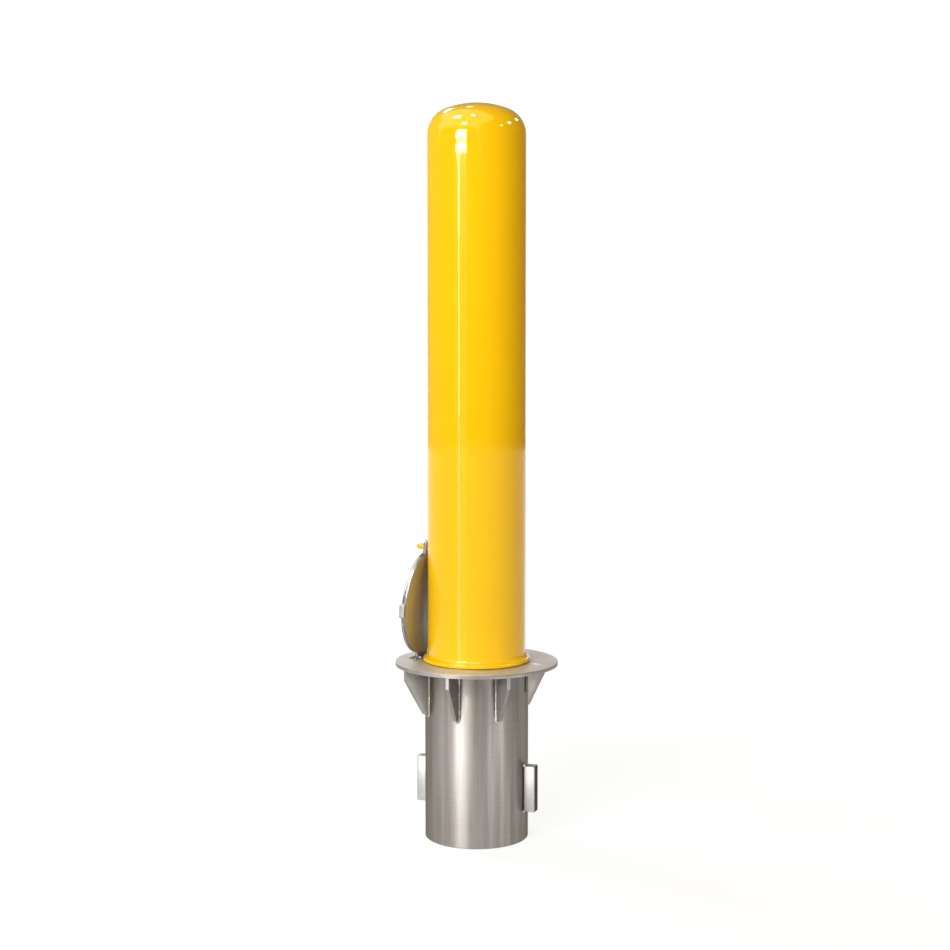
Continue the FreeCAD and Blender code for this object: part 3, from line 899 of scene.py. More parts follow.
@dataclass
class Post(Assembly):
    """Coated pipe with its pressed dome, collar and staple."""

    radius: float = 84.14 * MM
    wall: float = 7.11 * MM
    foot: float = 12.0 * MM
    foot_break: float = 2.5 * MM
    top: float = 1250.8 * MM
    crown: float = 151.0 * MM
    knuckle: float = 44.0 * MM
    skirt: float = 12.25 * MM
    seam_swell: float = 0.01 * MM
    seam_half_width: float = 4.0 * MM
    row: float = 10.0 * MM
    waviness: float = 0.035 * MM
    wave_seed: int = 7
    bend_steps: int = 24
    knuckle_steps: int = 20
    collar_bar: float = 3.97 * MM
    collar_place: float = 88.16 * MM
    collar_level: float = 309.07 * MM
    fillet: float = 8.0 * MM
    fillet_waver: float = 0.30 * MM
    fillet_end: float = 5.0 * MM
    fillet_root: float = 1.0 * MM
    fillet_step: float = 0.5
    fillet_runs: tuple[tuple[int, int], ...] = ((-150, 4), (33, 95), (117, 189))
    fillet_seed: int = 5
    fillet_section_steps: int = 14
    bead: float = 2.8 * MM
    bead_off: float = 0.5 * MM
    staple_bar: float = 3.97 * MM
    staple_bend: float = 8.73 * MM
    staple_place: float = -98.74 * MM
    staple_level: float = 497.8 * MM

    def skin(self, inset: float) -> list[Point]:
        """Draw one face of the dome, from the knuckle up to the apex.

        Args:
            inset: Depth of the face under the outer skin.

        Returns:
            Points of radius and height.
        """
        middle = self.top - self.crown
        corner = self.radius - self.knuckle
        rise = math.sqrt((self.crown - self.knuckle) ** 2 - corner ** 2)
        join = math.atan2(rise, corner)
        points = arc((corner, middle + rise), self.knuckle - inset, 0.0, join, self.knuckle_steps)
        points += arc((0.0, middle), self.crown - inset, join, math.pi / 2, self.bend_steps)[1:]
        points[-1] = (0.0, self.top - inset)
        return points

    def shell(self) -> Mesh:
        """Return the pipe and dome as one shell, its seam ground nearly flush."""
        outer = self.skin(0.0)
        seam = outer[0][1] - self.skirt
        side = [(self.radius - self.foot_break, self.foot), (self.radius, self.foot + self.foot_break)]
        height = self.foot + 2 * self.foot_break
        while height < outer[0][1] - self.row / 3:
            off = abs(height - seam) / self.seam_half_width
            swell = self.seam_swell * max(0.0, 1.0 - off * off)
            side.append((self.radius + swell, height))
            height += self.row / 4 if off < 2.0 else self.row
        inner = list(reversed(self.skin(self.wall)))
        inner.append((self.radius - self.wall, self.foot))
        mesh = turned("post_shell", side + outer + inner)
        self.ripple(mesh)
        return mesh

    def ripple(self, mesh: Mesh) -> None:
        """Give the outer skin the slight waviness of rolled pipe.

        Args:
            mesh: The shell, changed in place.
        """
        draw = random.Random(self.wave_seed)
        waves = [(draw.randint(2, 5), draw.uniform(9.0, 34.0), draw.uniform(0.0, math.tau)) for _ in range(6)]
        for vert in mesh.vertices:
            across = math.hypot(vert.co.x, vert.co.y)
            if across < self.radius - self.wall / 2:
                continue
            turn = math.atan2(vert.co.y, vert.co.x)
            push = sum(math.sin(lobes * turn + rise * vert.co.z + start) for lobes, rise, start in waves)
            vert.co.xy *= 1.0 + self.waviness * (push / len(waves) - 1.0) / across
        mesh.update()

    def collar_path(self) -> Mesh:
        """Return the collar's middle line."""
        ring = [Vector((x, y, self.collar_level)) for x, y in circle(self.collar_place)]
        return path_mesh("collar_path", [ring], closed=True)

    def staple_path(self) -> Mesh:
        """Return the staple's middle line, from one leg round to the other."""
        start = -self.radius + self.wall / 2
        bend = arc((self.staple_place, 0.0), self.staple_bend, -math.pi / 2, -math.pi * 1.5, self.bend_steps)
        line = [(start, -self.staple_bend), *bend, (start, self.staple_bend)]
        return path_mesh("staple_path", [[Vector((x, y, self.staple_level)) for x, y in line]])

    def fillet_section(self, size: float) -> list[Point]:
        """Draw the section of the hollow fillet between pipe and collar.

        Args:
            size: The fillet's radius.

        Returns:
            Points of radius and height.
        """
        across = self.radius + size - self.collar_place
        rise = math.sqrt((size + self.collar_bar) ** 2 - across ** 2)
        middle = (self.radius + size, self.collar_level + rise)
        curve = arc(middle, size, math.atan2(-rise, -across), -math.pi, self.fillet_section_steps)
        inside = self.radius - self.fillet_root
        foot = self.collar_level
        return [(self.collar_place, foot), *curve, (inside, middle[1]), (inside, foot)]

    def fillets(self) -> Mesh:
        """Return the three runs of fillet over the collar."""
        draw = random.Random(self.fillet_seed)
        waves = [(draw.randint(9, 40), draw.uniform(0.0, math.tau)) for _ in range(5)]
        root = Vector((self.radius - self.fillet_root, self.collar_level))
        verts: list[tuple[float, float, float]] = []
        faces: list[list[int]] = []
        for start, end in self.fillet_runs:
            steps = round((end - start) / self.fillet_step)
            first = len(verts)
            for step in range(steps + 1):
                turn = math.radians(start + step * self.fillet_step)
                push = sum(math.sin(lobes * turn + begin) for lobes, begin in waves) / len(waves)
                away = min(step, steps - step) * math.radians(self.fillet_step)
                away = away * self.radius / self.fillet_end
                full = math.sqrt(max(0.02, 1.0 - (1.0 - min(1.0, away)) ** 2))
                section = self.fillet_section(self.fillet + self.fillet_waver * push)
                for across, height in section:
                    spot = root + (Vector((across, height)) - root) * full
                    verts.append((spot.x * math.cos(turn), spot.x * math.sin(turn), spot.y))
            count = len(section)
            for step in range(steps):
                here = first + step * count
                faces += [[here + k, here + (k + 1) % count, here + count + (k + 1) % count, here + count + k]
                          for k in range(count)]
            faces.append([first + k for k in range(count)])
            faces.append([first + steps * count + k for k in range(count)])
        mesh = bpy.data.meshes.new("collar_fillet")
        mesh.from_pydata(verts, [], faces)
        return clean(mesh)

    def weld_chains(self) -> list[list[Vector]]:
        """Return the lines of the painted beads round the staple's two roots."""
        chains = []
        out = self.radius + self.bead_off
        for side in (-1, 1):
            middle = (side * self.staple_bend, self.staple_level)
            ring = circle(self.staple_bar + self.bead_off, middle, self.bend_steps)
            chains.append([Vector((-math.sqrt(out ** 2 - y * y), y, z)) for y, z in ring + ring[:1]])
        return chains

    def build(self) -> None:
        """Make and dress the post's pieces."""
        coat = self.finishes.paint
        self.piece("post_shell", self.shell(), coat, Body.POST, Slot.YELLOW, ["post_tube", "post_cap"])
        collar = self.bar("collar_bar", self.collar_path(), self.collar_bar, coat, 2.2 * MM)
        self.piece("collar_bar", collar, coat, Body.POST, Slot.YELLOW, ["collar_ring"])
        staple = self.bar("staple_bar", self.staple_path(), self.staple_bar, coat, 0.9 * MM)
        self.piece("staple_bar", staple, coat, Body.POST, Slot.YELLOW, ["lock_staple"])
        self.piece("collar_fillet", self.fillets(), coat, Body.POST, Slot.YELLOW)
        path = path_mesh("post_weld_path", self.weld_chains())
        beads = self.beads("post_welds", path, self.bead, coat, 3.0, taper=60.0, ripple=0.04,
                           wander=0.25 * MM)
        self.piece("post_welds", clean(beads), coat, Body.POST, Slot.YELLOW)


@dataclass
class Sleeve(Assembly):
    """Ground sleeve: tube, flange, gussets, anchor lugs and the hinge's rod."""

    radius: float = 88.9 * MM
    wall: float = 3.05 * MM
    length: float = 304.8 * MM
    edge: float = 0.5 * MM
    foot_edge: float = 1.2 * MM
    slit: tuple[float, float] = (254.8 * MM, 296.8 * MM)
    slit_half: float = 3.5 * MM
    gap: float = 0.05 * MM
    flange_radius: float = 139.7 * MM
    flange_thickness: float = 6.35 * MM
    flange_edge: float = 0.7 * MM
    window: tuple[float, float] = (-115.5 * MM, -91.0 * MM)
    window_half: float = 31.0 * MM
    window_corner: float = 2.5 * MM
    groove: tuple[float, float] = (-102.225 * MM, -95.775 * MM)
    groove_half: float = 44.05 * MM
    lock: tuple[float, float] = (96.0 * MM, 120.0 * MM)
    lock_half: float = 6.0 * MM
    lock_corner: float = 4.8 * MM
    gusset_thickness: float = 6.35 * MM
    gusset_reach: float = 133.0 * MM
    gusset_edge: float = 20.0 * MM
    gusset_height: float = 80.0 * MM
    gusset_nose: float = 99.5 * MM
    gusset_round: float = 4.0 * MM
    gusset_places: int = 8
    leave_out: int = 4
    lug_half: float = 9.525 * MM
    lug_reach: float = 109.0 * MM
    lug_low: float = 51.0 * MM
    lug_high: float = 130.0 * MM
    lug_root: float = 2.6 * MM
    lug_break: float = 2.0 * MM
    plate_edge: float = 0.6 * MM
    lug_edge: float = 1.1 * MM
    slit_roundness: float = 0.9
    bead: float = 1.9 * MM
    bead_off: float = 0.5 * MM
    bead_end: float = 1.2 * MM
    ring_runs: tuple[tuple[int, int], ...] = ((6, 41), (49, 86), (94, 131), (139, 176),
                                              (184, 221), (229, 266), (274, 311), (319, 354))
    lug_bead_off: float = 0.2 * MM
    lug_bead_out: float = 0.3 * MM
    lug_bead_points: tuple[float, ...] = (-9.6, -4.8, 0.0, 4.8, 9.6)
    # Dark lines beside the upright beads: partly heat tint, partly painted shade.
    heat_shade_line: float = 0.55 * MM
    heat_shade_aside: float = 6.0 * MM
    heat_shade_end: float = 4.0 * MM
    rod_radius: float = 3.175 * MM
    rod_half: float = 44.0 * MM
    rod_place: float = -99.0 * MM
    rod_level: float = 301.625 * MM

    @property
    def underside(self) -> float:
        """Return the height of the flange's lower face."""
        return self.length - self.flange_thickness

    def tube(self) -> Mesh:
        """Return the tube with its slit cut through the lock side."""
        bore = self.radius - self.wall
        section = rounded([(bore, 0.0), (self.radius, 0.0), (self.radius, self.length), (bore, self.length)],
                          [self.edge, self.foot_edge, self.edge / 2, self.edge], 3)
        body = turned("sleeve_shell", section)
        outline = rounded(rectangle((-self.slit_half, self.slit[0]), (self.slit_half, self.slit[1])),
                          [self.slit_half * self.slit_roundness] * 4, 8)
        low, high = self.radius - 3 * self.wall, self.radius + self.wall
        cutter_mesh = plate("slit_cutter", [outline], low, high, 0.0)
        stand = Matrix(((0, 0, 1, 0), (1, 0, 0, 0), (0, 1, 0, 0), (0, 0, 0, 1)))
        cutter = placed("slit_cutter", moved(cutter_mesh, stand))

        def cut(helper: Object) -> None:
            """Cut the slit out of the tube.

            Args:
                helper: The object that holds the tube.
            """
            boolean = helper.modifiers.new("Slit", "BOOLEAN")
            boolean.operation = "DIFFERENCE"
            boolean.solver = "EXACT"
            boolean.object = cutter

        mesh = flattened("sleeve_shell", body, cut)
        bpy.data.objects.remove(cutter)
        return clean(mesh)

    def flange(self) -> Mesh:
        """Return the flange with its bore, hinge window, rod groove and lock slot."""
        far, near = self.window
        left, right = self.groove
        window = rounded(
            [(far, -self.window_half), (left, -self.window_half), (left, -self.groove_half),
             (right, -self.groove_half), (right, -self.window_half), (near, -self.window_half),
             (near, self.window_half), (right, self.window_half), (right, self.groove_half),
             (left, self.groove_half), (left, self.window_half), (far, self.window_half)],
            [self.window_corner, 0, 0, 0, 0, self.window_corner] * 2, 5)
        lock = rounded(rectangle((self.lock[0], -self.lock_half), (self.lock[1], self.lock_half)),
                       [self.lock_corner] * 4, 8)
        loops = [circle(self.flange_radius), circle(self.radius + self.gap), window, lock]
        return plate("flange_disc", loops, self.underside, self.length, self.flange_edge)

    def gussets(self) -> Mesh:
        """Return the gussets, fanned out from one."""
        root = self.radius + self.gap
        foot = self.underside - self.gusset_height
        side = rounded([(root, foot), (self.gusset_nose, foot),
                        (self.gusset_reach, self.underside - self.gusset_edge),
                        (self.gusset_reach, self.underside), (root, self.underside)],
                       [0.0, self.gusset_round, 0.0, 0.0, 0.0])
        half = self.gusset_thickness / 2
        one = plate("gusset", [side], -half, half, self.plate_edge)
        stand = Matrix(((1, 0, 0, 0), (0, 0, -1, 0), (0, 1, 0, 0), (0, 0, 0, 1)))
        fan = through("gusset_fan", moved(one, stand), self.shared.fan, Places=self.gusset_places,
                      Leave_Out_Every=self.leave_out, Material=self.finishes.cut)
        return clean(fan)

    def lugs(self) -> Mesh:
        """Return the two anchor lugs, their back edges relieved beside the tube."""
        outline = rounded(
            [(self.radius + self.gap, -self.lug_half), (self.lug_reach, -self.lug_half),
             (self.lug_reach, self.lug_half), (self.radius + self.gap, self.lug_half)],
            [self.lug_root, self.lug_break, self.lug_break, self.lug_root], 3)
        one = plate("lug", [outline], self.lug_low, self.lug_high, self.lug_edge)
        other = moved(one.copy(), Matrix.Rotation(math.pi, 4, "Z"))
        return joined("anchor_lugs", [one, other])

    def rod(self) -> Mesh:
        """Return the hinge's rod."""
        profile = rounded([(0.0, -self.rod_half), (self.rod_radius, -self.rod_half),
                           (self.rod_radius, self.rod_half), (0.0, self.rod_half)],
                          [0.0, self.plate_edge, self.plate_edge, 0.0], 3)
        lay = Matrix.Translation((self.rod_place, 0.0, self.rod_level)) @ Matrix.Rotation(math.pi / 2, 4, "X")
        return moved(turned("hinge_rod", profile, 48), lay)

    def spoke(self, turn: float, out: float, aside: float, level: float) -> Vector:
        """Find a point beside a radius of the sleeve.

        Args:
            turn: The radius's turn in degrees.
            out: Distance along the radius.
            aside: Distance beside it.
            level: Height of the point.

        Returns:
            The point.
        """
        angle = math.radians(turn)
        along = Vector((math.cos(angle), math.sin(angle), 0.0))
        return along * out + Vector((-along.y, along.x, 0.0)) * aside + Vector((0.0, 0.0, level))

    def weld_chains(self) -> list[list[Vector]]:
        """Return the lines of the beads on the sleeve."""
        chains = []
        aside = self.gusset_thickness / 2 + self.bead_off
        root = self.radius + self.bead_off
        foot = self.underside - self.gusset_height
        head = self.underside - self.bead_end
        under = self.underside - self.bead_off
        turns = [45.0 * n for n in range(self.gusset_places) if n % self.leave_out]
        for turn in turns:
            bend = arc((0.0, foot), aside, -math.pi, 0.0, 8)
            nose = [self.spoke(turn, root, across, level) for across, level in bend]
            chains.append([self.spoke(turn, root, -aside, head), *nose, self.spoke(turn, root, aside, head)])
            for side in (-aside, aside):
                chains.append([self.spoke(turn, root + 2 * MM, side, under),
                               self.spoke(turn, self.gusset_reach - 2 * MM, side, under)])
        for begin, end in self.ring_runs:
            bend = arc((0.0, 0.0), root, math.radians(begin), math.radians(end), 30)
            chains.append([Vector((x, y, under)) for x, y in bend])
        for turn in (0.0, 180.0):
            for level in (self.lug_low - self.lug_bead_off, self.lug_high + self.lug_bead_off):
                chains.append([self.spoke(turn, self.radius + self.lug_bead_out, side * MM, level)
                               for side in self.lug_bead_points])
        return chains

    def heat_shade_chains(self) -> list[list[Vector]]:
        """Return the dark lines beside the upright beads, partly heat tint from welding and partly painted
        shade along the joints.
        """
        chains = []
        high = self.underside - self.heat_shade_end
        low = self.underside - self.gusset_height + self.heat_shade_end
        for n in range(self.gusset_places):
            for aside in (-self.heat_shade_aside, self.heat_shade_aside) if n % self.leave_out else ():
                out = math.sqrt(self.radius ** 2 - aside ** 2)
                chains.append([self.spoke(45.0 * n, out, aside, level) for level in (high, low)])
        return chains

    def build(self) -> None:
        """Make and dress the sleeve's pieces."""
        looks = self.finishes
        steel = (Body.SLEEVE, Slot.STEEL)
        up = Vector((0.0, 0.0, 1.0))
        shell = self.piece("sleeve_shell", self.tube(), looks.tube, *steel, ["sleeve_tube"])
        # The tube's rounded top and bottom rims take the dark finish, a painted shade outline.
        self.also(shell, looks.dark_shade, up, 0.3, 0.99)
        flange = self.piece("flange_disc", self.flange(), looks.flange, *steel, ["flange_plate"])
        self.also(flange, looks.cut, up, 0.0, 0.5, self.flange_radius - MM)
        names = [f"gusset_{n}" for n in range(1, 7)]
        self.piece("gusset_fan", self.gussets(), looks.cut, *steel, names)
        lugs = self.piece("anchor_lugs", self.lugs(), looks.bar, *steel,
                          ["anchor_lug_lock_side", "anchor_lug_hinge_side"])
        # The lugs' end faces take the dark finish: painted shade on the sides turned away from the light.
        self.also(lugs, looks.end_face_shade, Vector((1.0, 0.0, 0.0)), 0.9, 1.0)
        self.piece("hinge_rod", self.rod(), looks.rod, *steel, ["hinge_pin"])
        for name, chains, radius, look, seed in (
                ("sleeve_welds", self.weld_chains(), self.bead, looks.weld, 11.0),
                # These dark lines are partly heat tint and partly painted shade.
                ("sleeve_heat_shade_lines", self.heat_shade_chains(), self.heat_shade_line, looks.dark_shade, 17.0)):
            path = path_mesh(f"{name}_path", chains)
            self.piece(name, clean(self.beads(name, path, radius, look, seed)), look, *steel)


@dataclass
class Lid(Assembly):
    """Hinged lid of two discs, leaning on the post.

    It is drawn flat: X runs along the lid away from the hinge, Y along the
    hinge's rod, and Z is the lid's outer side.
    """

    lean: float = math.radians(4.9)
    hinge: tuple[float, float, float] = (-99.0 * MM, 0.0, 301.625 * MM)
    centre: float = 99.0 * MM
    radius: float = 88.9 * MM
    inner_face: float = 3.475 * MM
    middle_face: float = 8.235 * MM
    outer_face: float = 11.415 * MM
    tongue_end: float = 5.0 * MM
    tongue_half: float = 21.0 * MM
    tab_end: float = 209.9 * MM
    tab_corner: float = 5.5 * MM
    fork_floor: float = 190.53 * MM
    fork_half: float = 14.2 * MM
    fork_corner: float = 2.4 * MM
    block_turn: float = math.radians(267.0)
    block_half: float = 11.5 * MM
    block_reach: float = 94.4 * MM
    block_top: float = 12.9 * MM
    barrel_radius: float = 6.35 * MM
    barrel_bore: float = 3.225 * MM
    inner_edge: float = 0.5 * MM
    outer_edge: float = 1.3 * MM
    block_edge: float = 1.0 * MM
    bead: float = 0.95 * MM
    bead_in: float = 0.55 * MM
    bead_rise: float = 0.1 * MM
    barrel_bead: tuple[float, ...] = (-19.0, 0.0, 19.0)
    block_bead: tuple[float, ...] = (4.0, 7.5, 11.0)
    bead_runs: tuple[tuple[int, int], ...] = ((20, 75), (105, 160), (200, 255), (292, 340))

    @property
    def upright(self) -> Matrix:
        """Return the matrix that stands the flat lid up to its leaning rest."""
        turn = Matrix.Rotation(math.pi / 2 - self.lean, 4, Vector((0.0, -1.0, 0.0)))
        return Matrix.Translation(self.hinge) @ turn

    def disc_outline(self) -> list[Point]:
        """Return the inner disc's outline with its tongue and forked tab."""
        meet = math.asin(self.tongue_half / self.radius)
        right = arc((self.centre, 0.0), self.radius, -math.pi + meet, -meet, 120)
        left = arc((self.centre, 0.0), self.radius, meet, math.pi - meet, 120)
        cut = self.tab_corner
        tab = [(self.tab_end - cut, -self.tongue_half), (self.tab_end, -self.tongue_half + cut),
               (self.tab_end, -self.fork_half)]
        fork = arc((self.fork_floor + self.fork_corner, -self.fork_half + self.fork_corner),
                   self.fork_corner, -math.pi / 2, -math.pi, 5)
        fork += arc((self.fork_floor + self.fork_corner, self.fork_half - self.fork_corner),
                    self.fork_corner, math.pi, math.pi / 2, 5)
        far_tab = [(x, -y) for x, y in reversed(tab)]
        tongue = [(self.tongue_end, self.tongue_half), (self.tongue_end, -self.tongue_half)]
        return right + tab + fork + far_tab + left + tongue

    def block(self) -> Mesh:
        """Return the small block on the rim."""
        seat = self.radius + 0.05 * MM
        low = (math.sqrt(seat ** 2 - self.block_half ** 2), -self.block_half)
        corners = [low, (self.block_reach, -self.block_half), (self.block_reach, self.block_half),
                   (low[0], self.block_half)]
        outline = rounded(corners, [0.0, 2.2 * MM, 2.2 * MM, 0.0], 5)
        spread = math.asin(self.block_half / seat)
        outline = [*outline[1:-1], *arc((0.0, 0.0), seat, spread, -spread, 12)]
        mesh = plate("lid_block", [outline], self.inner_face, self.block_top, self.block_edge)
        turn = Matrix.Translation((self.centre, 0.0, 0.0)) @ Matrix.Rotation(self.block_turn, 4, "Z")
        return moved(mesh, turn)

    def barrel(self) -> Mesh:
        """Return the hinge's barrel."""
        half = self.tongue_half
        section = rounded([(self.barrel_bore, -half), (self.barrel_radius, -half),
                           (self.barrel_radius, half), (self.barrel_bore, half)],
                          [0.3 * MM, 0.7 * MM, 0.7 * MM, 0.3 * MM], 3)
        return moved(turned("lid_barrel", section, 64), Matrix.Rotation(math.pi / 2, 4, "X"))

    def weld_chains(self) -> list[list[Vector]]:
        """Return the lines of the beads on the lid."""
        chains = []
        level = self.middle_face + self.bead_rise
        for start, end in self.bead_runs:
            angles = math.radians(start), math.radians(end)
            bend = arc((self.centre, 0.0), self.radius - self.bead_in, *angles, 60)
            chains.append([Vector((x, y, level)) for x, y in bend])
        reach = self.barrel_radius - 0.2 * MM
        for height in (self.inner_face + self.bead_rise, self.middle_face - 0.4 * MM):
            chains.append([Vector((reach, y * MM, height)) for y in self.barrel_bead])
        for side in (-1, 1):
            turn = self.block_turn + side * (math.asin(self.block_half / self.radius) + 0.006)
            spot = Vector((math.cos(turn), math.sin(turn), 0.0)) * (self.radius + 0.4 * MM)
            spot.x += self.centre
            chains.append([spot + Vector((0.0, 0.0, h * MM)) for h in self.block_bead])
        return chains

    def build(self) -> None:
        """Make and dress the lid's pieces."""
        looks = self.finishes
        steel = (Body.LID, Slot.STEEL)
        inner = plate("lid_inner_disc", [self.disc_outline()], self.inner_face, self.middle_face,
                      self.inner_edge)
        outer = plate("lid_outer_disc", [circle(self.radius, (self.centre, 0.0))],
                      self.middle_face, self.outer_face, self.outer_edge)
        out = self.upright.to_3x3() @ Vector((0.0, 0.0, 1.0))
        for name, disc, solid in (("lid_inner_disc", inner, "lid_plate"),
                                  ("lid_outer_disc", outer, "lid_cover")):
            item = self.piece(name, moved(disc, self.upright), looks.lid, *steel, [solid])
            self.also(item, looks.rim, out, 0.0, 0.3)
            # The bevels take the dark finish, a painted shade outline round the lid's edges.
            self.also(item, looks.dark_shade, out, 0.3, 0.9)
        self.piece("lid_block", moved(self.block(), self.upright), looks.cut, *steel, ["lid_rim_lug"])
        self.piece("lid_barrel", moved(self.barrel(), self.upright), looks.rod, *steel, ["hinge_knuckle"])
        path = path_mesh("lid_weld_path", self.weld_chains())
        beads = self.beads("lid_welds", moved(path, self.upright), self.bead, looks.weld, 23.0, ripple=0.25)
        self.piece("lid_welds", clean(beads), looks.weld, *steel)


class Use(Enum):
    """What a lamp is for: soft light on the surfaces, or a reflection in them."""

    LIGHT = "light"
    SHINE = "shine"


@dataclass(frozen=True)
class Lamp:
    """A soft rectangular lamp that faces the bollard.

    The azimuth is counted from the camera's side, to the right as the camera
    sees it, and both angles are in degrees.
    """

    name: str
    azimuth: float
    elevation: float
    distance: float
    width: float
    height: float
    radiance: float
    level: float = 1.2
    use: Use = Use.SHINE
    colour: Colour = (1.0, 1.0, 1.0)


@dataclass
class Studio:
    """Pale floor, pale backdrop, soft lamps and the camera."""

    view: float = 21.5
    camera_out: float = 2.610
    camera_up: float = 0.7948
    tilt: float = 3.74
    focal: float = 57.96
    sensor: float = 36.0
    far_clip: float = 100.0
    shift: float = -0.00178
    room: float = 0.22
    room_lean: float = 0.5
    room_colour: Colour = (1.0, 0.99, 0.97)
    bounce: float = 0.5
    floor_shade: float = 0.18
    floor_glow: tuple[float, float] = (0.84, 0.98)
    glow_span: tuple[float, float] = (0.6, 4.0)
    wall_shade: float = 0.3
    floor_radius: float = 14.0
    wall_distance: float = 9.0
    wall_half: float = 3.8
    wall_height: float = 4.5
    lamps: tuple[Lamp, ...] = (
        Lamp("soft_front_left", -28.0, 22.0, 3.2, 1.8, 1.4, 11.3, level=0.62, use=Use.LIGHT),
        Lamp("soft_back_left", -132.0, 22.0, 3.2, 1.4, 1.6, 7.8, level=0.62, use=Use.LIGHT),
        Lamp("soft_right", 60.0, 22.0, 3.2, 1.8, 1.4, 3.6, level=0.62, use=Use.LIGHT,
             colour=(1.0, 0.77, 0.45)),
        Lamp("soft_back_right", 155.0, 24.0, 3.2, 1.4, 1.6, 4.0, level=0.62, use=Use.LIGHT),
        Lamp("window_high", -35.4, 0.0, 3.4, 1.48, 0.030, 90.0, level=1.7165),
        Lamp("window_low", -35.4, 0.0, 3.4, 1.48, 0.026, 78.0, level=1.659),
        Lamp("veil_high", -35.4, 0.0, 3.4, 1.40, 0.34, 1.5, level=1.474),
        Lamp("veil_low", -35.4, 0.0, 3.4, 1.40, 1.29, 0.85, level=0.655),
        Lamp("veil_floor", -35.0, 0.0, 1.5, 0.62, 0.22, 0.85, level=0.14),
        Lamp("line_high", -41.0, 0.0, 3.3, 0.17, 0.304, 24.0, level=1.476),
        Lamp("line_middle", -41.0, 0.0, 3.3, 0.17, 0.735, 10.0, level=0.957),
        Lamp("line_low", -41.0, 0.0, 3.3, 0.17, 0.57, 5.5, level=0.30),
        Lamp("line_floor", -40.4, 0.0, 1.5, 0.077, 0.22, 5.5, level=0.14),
        Lamp("line_left", -53.0, 0.0, 3.3, 0.20, 1.1, 0.9, level=1.17),
        Lamp("glint", 8.0, 0.0, 3.4, 0.10, 0.06, 3.0, level=1.652),
        Lamp("roof", -38.0, 60.0, 3.0, 7.4, 3.4, 2.2),
        Lamp("roof_low", -46.0, 22.0, 3.4, 8.4, 1.1, 1.9),
        Lamp("roof_far_left", -60.0, 50.0, 3.4, 0.84, 0.75, 45.0),
        Lamp("roof_left", -28.0, 24.0, 3.4, 0.74, 0.50, 50.0),
        Lamp("roof_small", -3.0, 24.0, 3.4, 0.20, 0.22, 20.0),
        Lamp("roof_front", -11.0, 60.0, 3.4, 0.36, 0.50, 45.0),
        Lamp("roof_back_left", -147.0, 45.0, 3.4, 0.75, 0.5, 14.0),
        Lamp("roof_back", -167.0, 62.0, 3.4, 0.30, 0.40, 15.0),
        Lamp("side_near", 58.0, 17.0, 3.4, 0.50, 0.22, 34.0),
        Lamp("side_middle", 86.0, 27.0, 3.4, 0.60, 0.42, 24.0),
        Lamp("side_far", 127.0, 31.0, 3.4, 0.66, 0.30, 11.0),
        Lamp("near_left", -80.0, 0.0, 0.9, 0.60, 0.13, 1.1, level=0.065),
        Lamp("near_window", -37.0, 0.0, 0.9, 0.40, 0.13, 5.2, level=0.065),
        Lamp("near_window_wide", -38.0, 0.0, 0.9, 0.90, 0.13, 2.4, level=0.065),
        Lamp("near_window_right", -14.0, 0.0, 0.9, 0.25, 0.13, 1.2, level=0.065),
        Lamp("card", 40.0, 0.0, 0.70, 0.40, 0.14, 2.6, level=0.07),
        Lamp("card_left_edge", 25.0, 0.0, 0.70, 0.05, 0.14, 3.0, level=0.07),
        Lamp("card_right_edge", 54.0, 0.0, 0.70, 0.06, 0.14, 6.0, level=0.07),
    )

    def direction(self, azimuth: float, elevation: float) -> Vector:
        """Find a direction as seen from the bollard.

        Args:
            azimuth: Degrees from the camera's side, to the right.
            elevation: Degrees above the floor.

        Returns:
            A unit vector.
        """
        turn = math.radians(self.view + azimuth)
        rise = math.radians(elevation)
        return Vector((math.sin(turn) * math.cos(rise), -math.cos(turn) * math.cos(rise), math.sin(rise)))

    def pale(self, name: str, bounce: float, seen_colour: float, near: float,
             far: float) -> Material:
        """Return the floor's and backdrop's white, which keeps shadows.

        Args:
            name: The material's name.
            bounce: Grey that lights the bollard.
            seen_colour: Grey whose shading the eye and reflections see.
            near: Light of its own beside the bollard, for the eye and reflections.
            far: The same, some metres away.

        Returns:
            The material.
        """
        material = bpy.data.materials.new(name)
        material.use_nodes = True
        graph = Graph(material.node_tree)
        graph.tree.nodes.clear()
        path = graph.add("ShaderNodeLightPath").outputs
        seen = graph.math("MAXIMUM", path["Is Camera Ray"],
                          graph.math("MAXIMUM", path["Is Glossy Ray"], path["Is Transmission Ray"]))
        grey = graph.blend(seen, (bounce,) * 3, (seen_colour,) * 3)
        diffuse = graph.add("ShaderNodeBsdfDiffuse", {"Color": grey})
        place = graph.add("ShaderNodeTexCoord").outputs["Object"]
        away = graph.add("ShaderNodeVectorMath", {0: place}, operation="LENGTH").outputs["Value"]
        glow = graph.remap(away, *self.glow_span, near, far)
        glowing = graph.add("ShaderNodeEmission", {"Strength": graph.math("MULTIPLY", seen, glow)})
        both = graph.add("ShaderNodeAddShader")
        graph.fill(both, {0: diffuse.outputs[0], 1: glowing.outputs[0]})
        graph.add("ShaderNodeOutputMaterial", {"Surface": both.outputs[0]})
        return material

    def stage_piece(self, name: str, mesh: Mesh, material: Material) -> None:
        """Add a piece of the stage.

        Args:
            name: The piece's name.
            mesh: Its mesh.
            material: Its finish.
        """
        mesh.materials.append(material)
        item = placed(name, mesh)

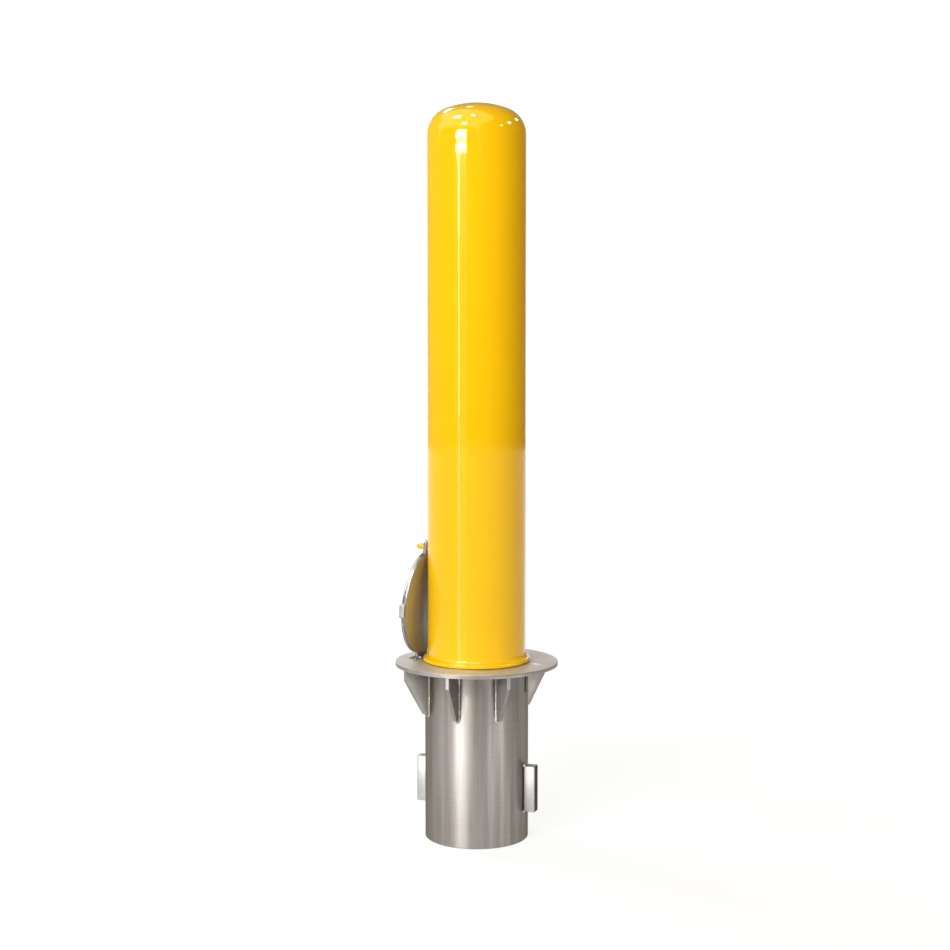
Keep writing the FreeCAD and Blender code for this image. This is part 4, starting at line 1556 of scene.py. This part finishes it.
    def build_floor(self) -> None:
        """Make the floor and the backdrop far behind the bollard."""
        floor = bpy.data.meshes.new("floor")
        rim = [(x, y, 0.0) for x, y in circle(self.floor_radius, steps=64)]
        floor.from_pydata(rim, [], [list(range(len(rim)))])
        white = self.pale("pale_floor", self.bounce, self.floor_shade, *self.floor_glow)
        self.stage_piece("floor", floor, white)
        away = self.direction(180.0, 0.0)
        aside = Vector((-away.y, away.x, 0.0)) * self.wall_half
        foot = away * self.wall_distance
        rise = Vector((0.0, 0.0, self.wall_height))
        wall = bpy.data.meshes.new("backdrop")
        corners = [foot - aside, foot + aside, foot + aside + rise, foot - aside + rise]
        wall.from_pydata(corners, [], [(0, 1, 2, 3)])
        self.stage_piece("backdrop", wall, self.pale("pale_backdrop", self.bounce, self.wall_shade, 1.0, 1.0))

    def build_lamps(self) -> None:
        """Hang the soft lamps round the bollard."""
        for lamp in self.lamps:
            light = bpy.data.lights.new(lamp.name, "AREA")
            light.shape = "RECTANGLE"
            light.size = lamp.width
            light.size_y = lamp.height
            light.color = lamp.colour
            light.energy = lamp.radiance * lamp.width * lamp.height * math.pi
            item = placed(lamp.name, light)
            back = self.direction(lamp.azimuth, lamp.elevation)
            item.location = back * lamp.distance + Vector((0.0, 0.0, lamp.level))
            item.rotation_euler = back.to_track_quat("Z", "Y").to_euler()
            item.visible_camera = False
            item.visible_diffuse = lamp.use is Use.LIGHT
            item.visible_glossy = lamp.use is Use.SHINE

    def build_room(self) -> None:
        """Fill the room with even light, brighter on the camera's left."""
        world = bpy.data.worlds.new("room")
        bpy.context.scene.world = world
        world.use_nodes = True
        graph = Graph(world.node_tree)
        graph.tree.nodes.clear()
        way = graph.add("ShaderNodeTexCoord").outputs["Generated"]
        left = self.direction(-90.0, 0.0)
        side = graph.add("ShaderNodeVectorMath", {0: way, 1: left}, operation="DOT_PRODUCT").outputs["Value"]
        level = graph.remap(side, -1.0, 1.0, self.room * (1 - self.room_lean),
                            self.room * (1 + self.room_lean))
        glow = graph.add("ShaderNodeBackground", {"Color": (*self.room_colour, 1.0), "Strength": level})
        graph.add("ShaderNodeOutputWorld", {"Surface": glow.outputs[0]})

    def build_camera(self) -> None:
        """Set the camera where the photograph was taken from."""
        data = bpy.data.cameras.new("camera")
        data.sensor_width = self.sensor
        data.lens = self.focal
        data.shift_x = self.shift
        data.clip_end = self.far_clip
        item = placed("camera", data)
        turn = math.radians(self.view)
        item.location = (self.camera_out * math.sin(turn), -self.camera_out * math.cos(turn), self.camera_up)
        item.rotation_euler = (math.radians(90.0 - self.tilt), 0.0, turn)
        bpy.context.scene.camera = item

    def build(self) -> None:
        """Set the stage."""
        self.build_floor()
        self.build_lamps()
        self.build_room()
        self.build_camera()
        bpy.context.scene.view_settings.view_transform = "Standard"


def main() -> None:
    """Build the bollard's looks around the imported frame."""
    logging.basicConfig(level=logging.INFO, format="%(name)s: %(message)s")
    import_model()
    Studio().build()
    finishes = Finishes(Shared())
    for assembly in (Post(finishes), Sleeve(finishes), Lid(finishes)):
        assembly.build()


if __name__ == "__main__":
    main()
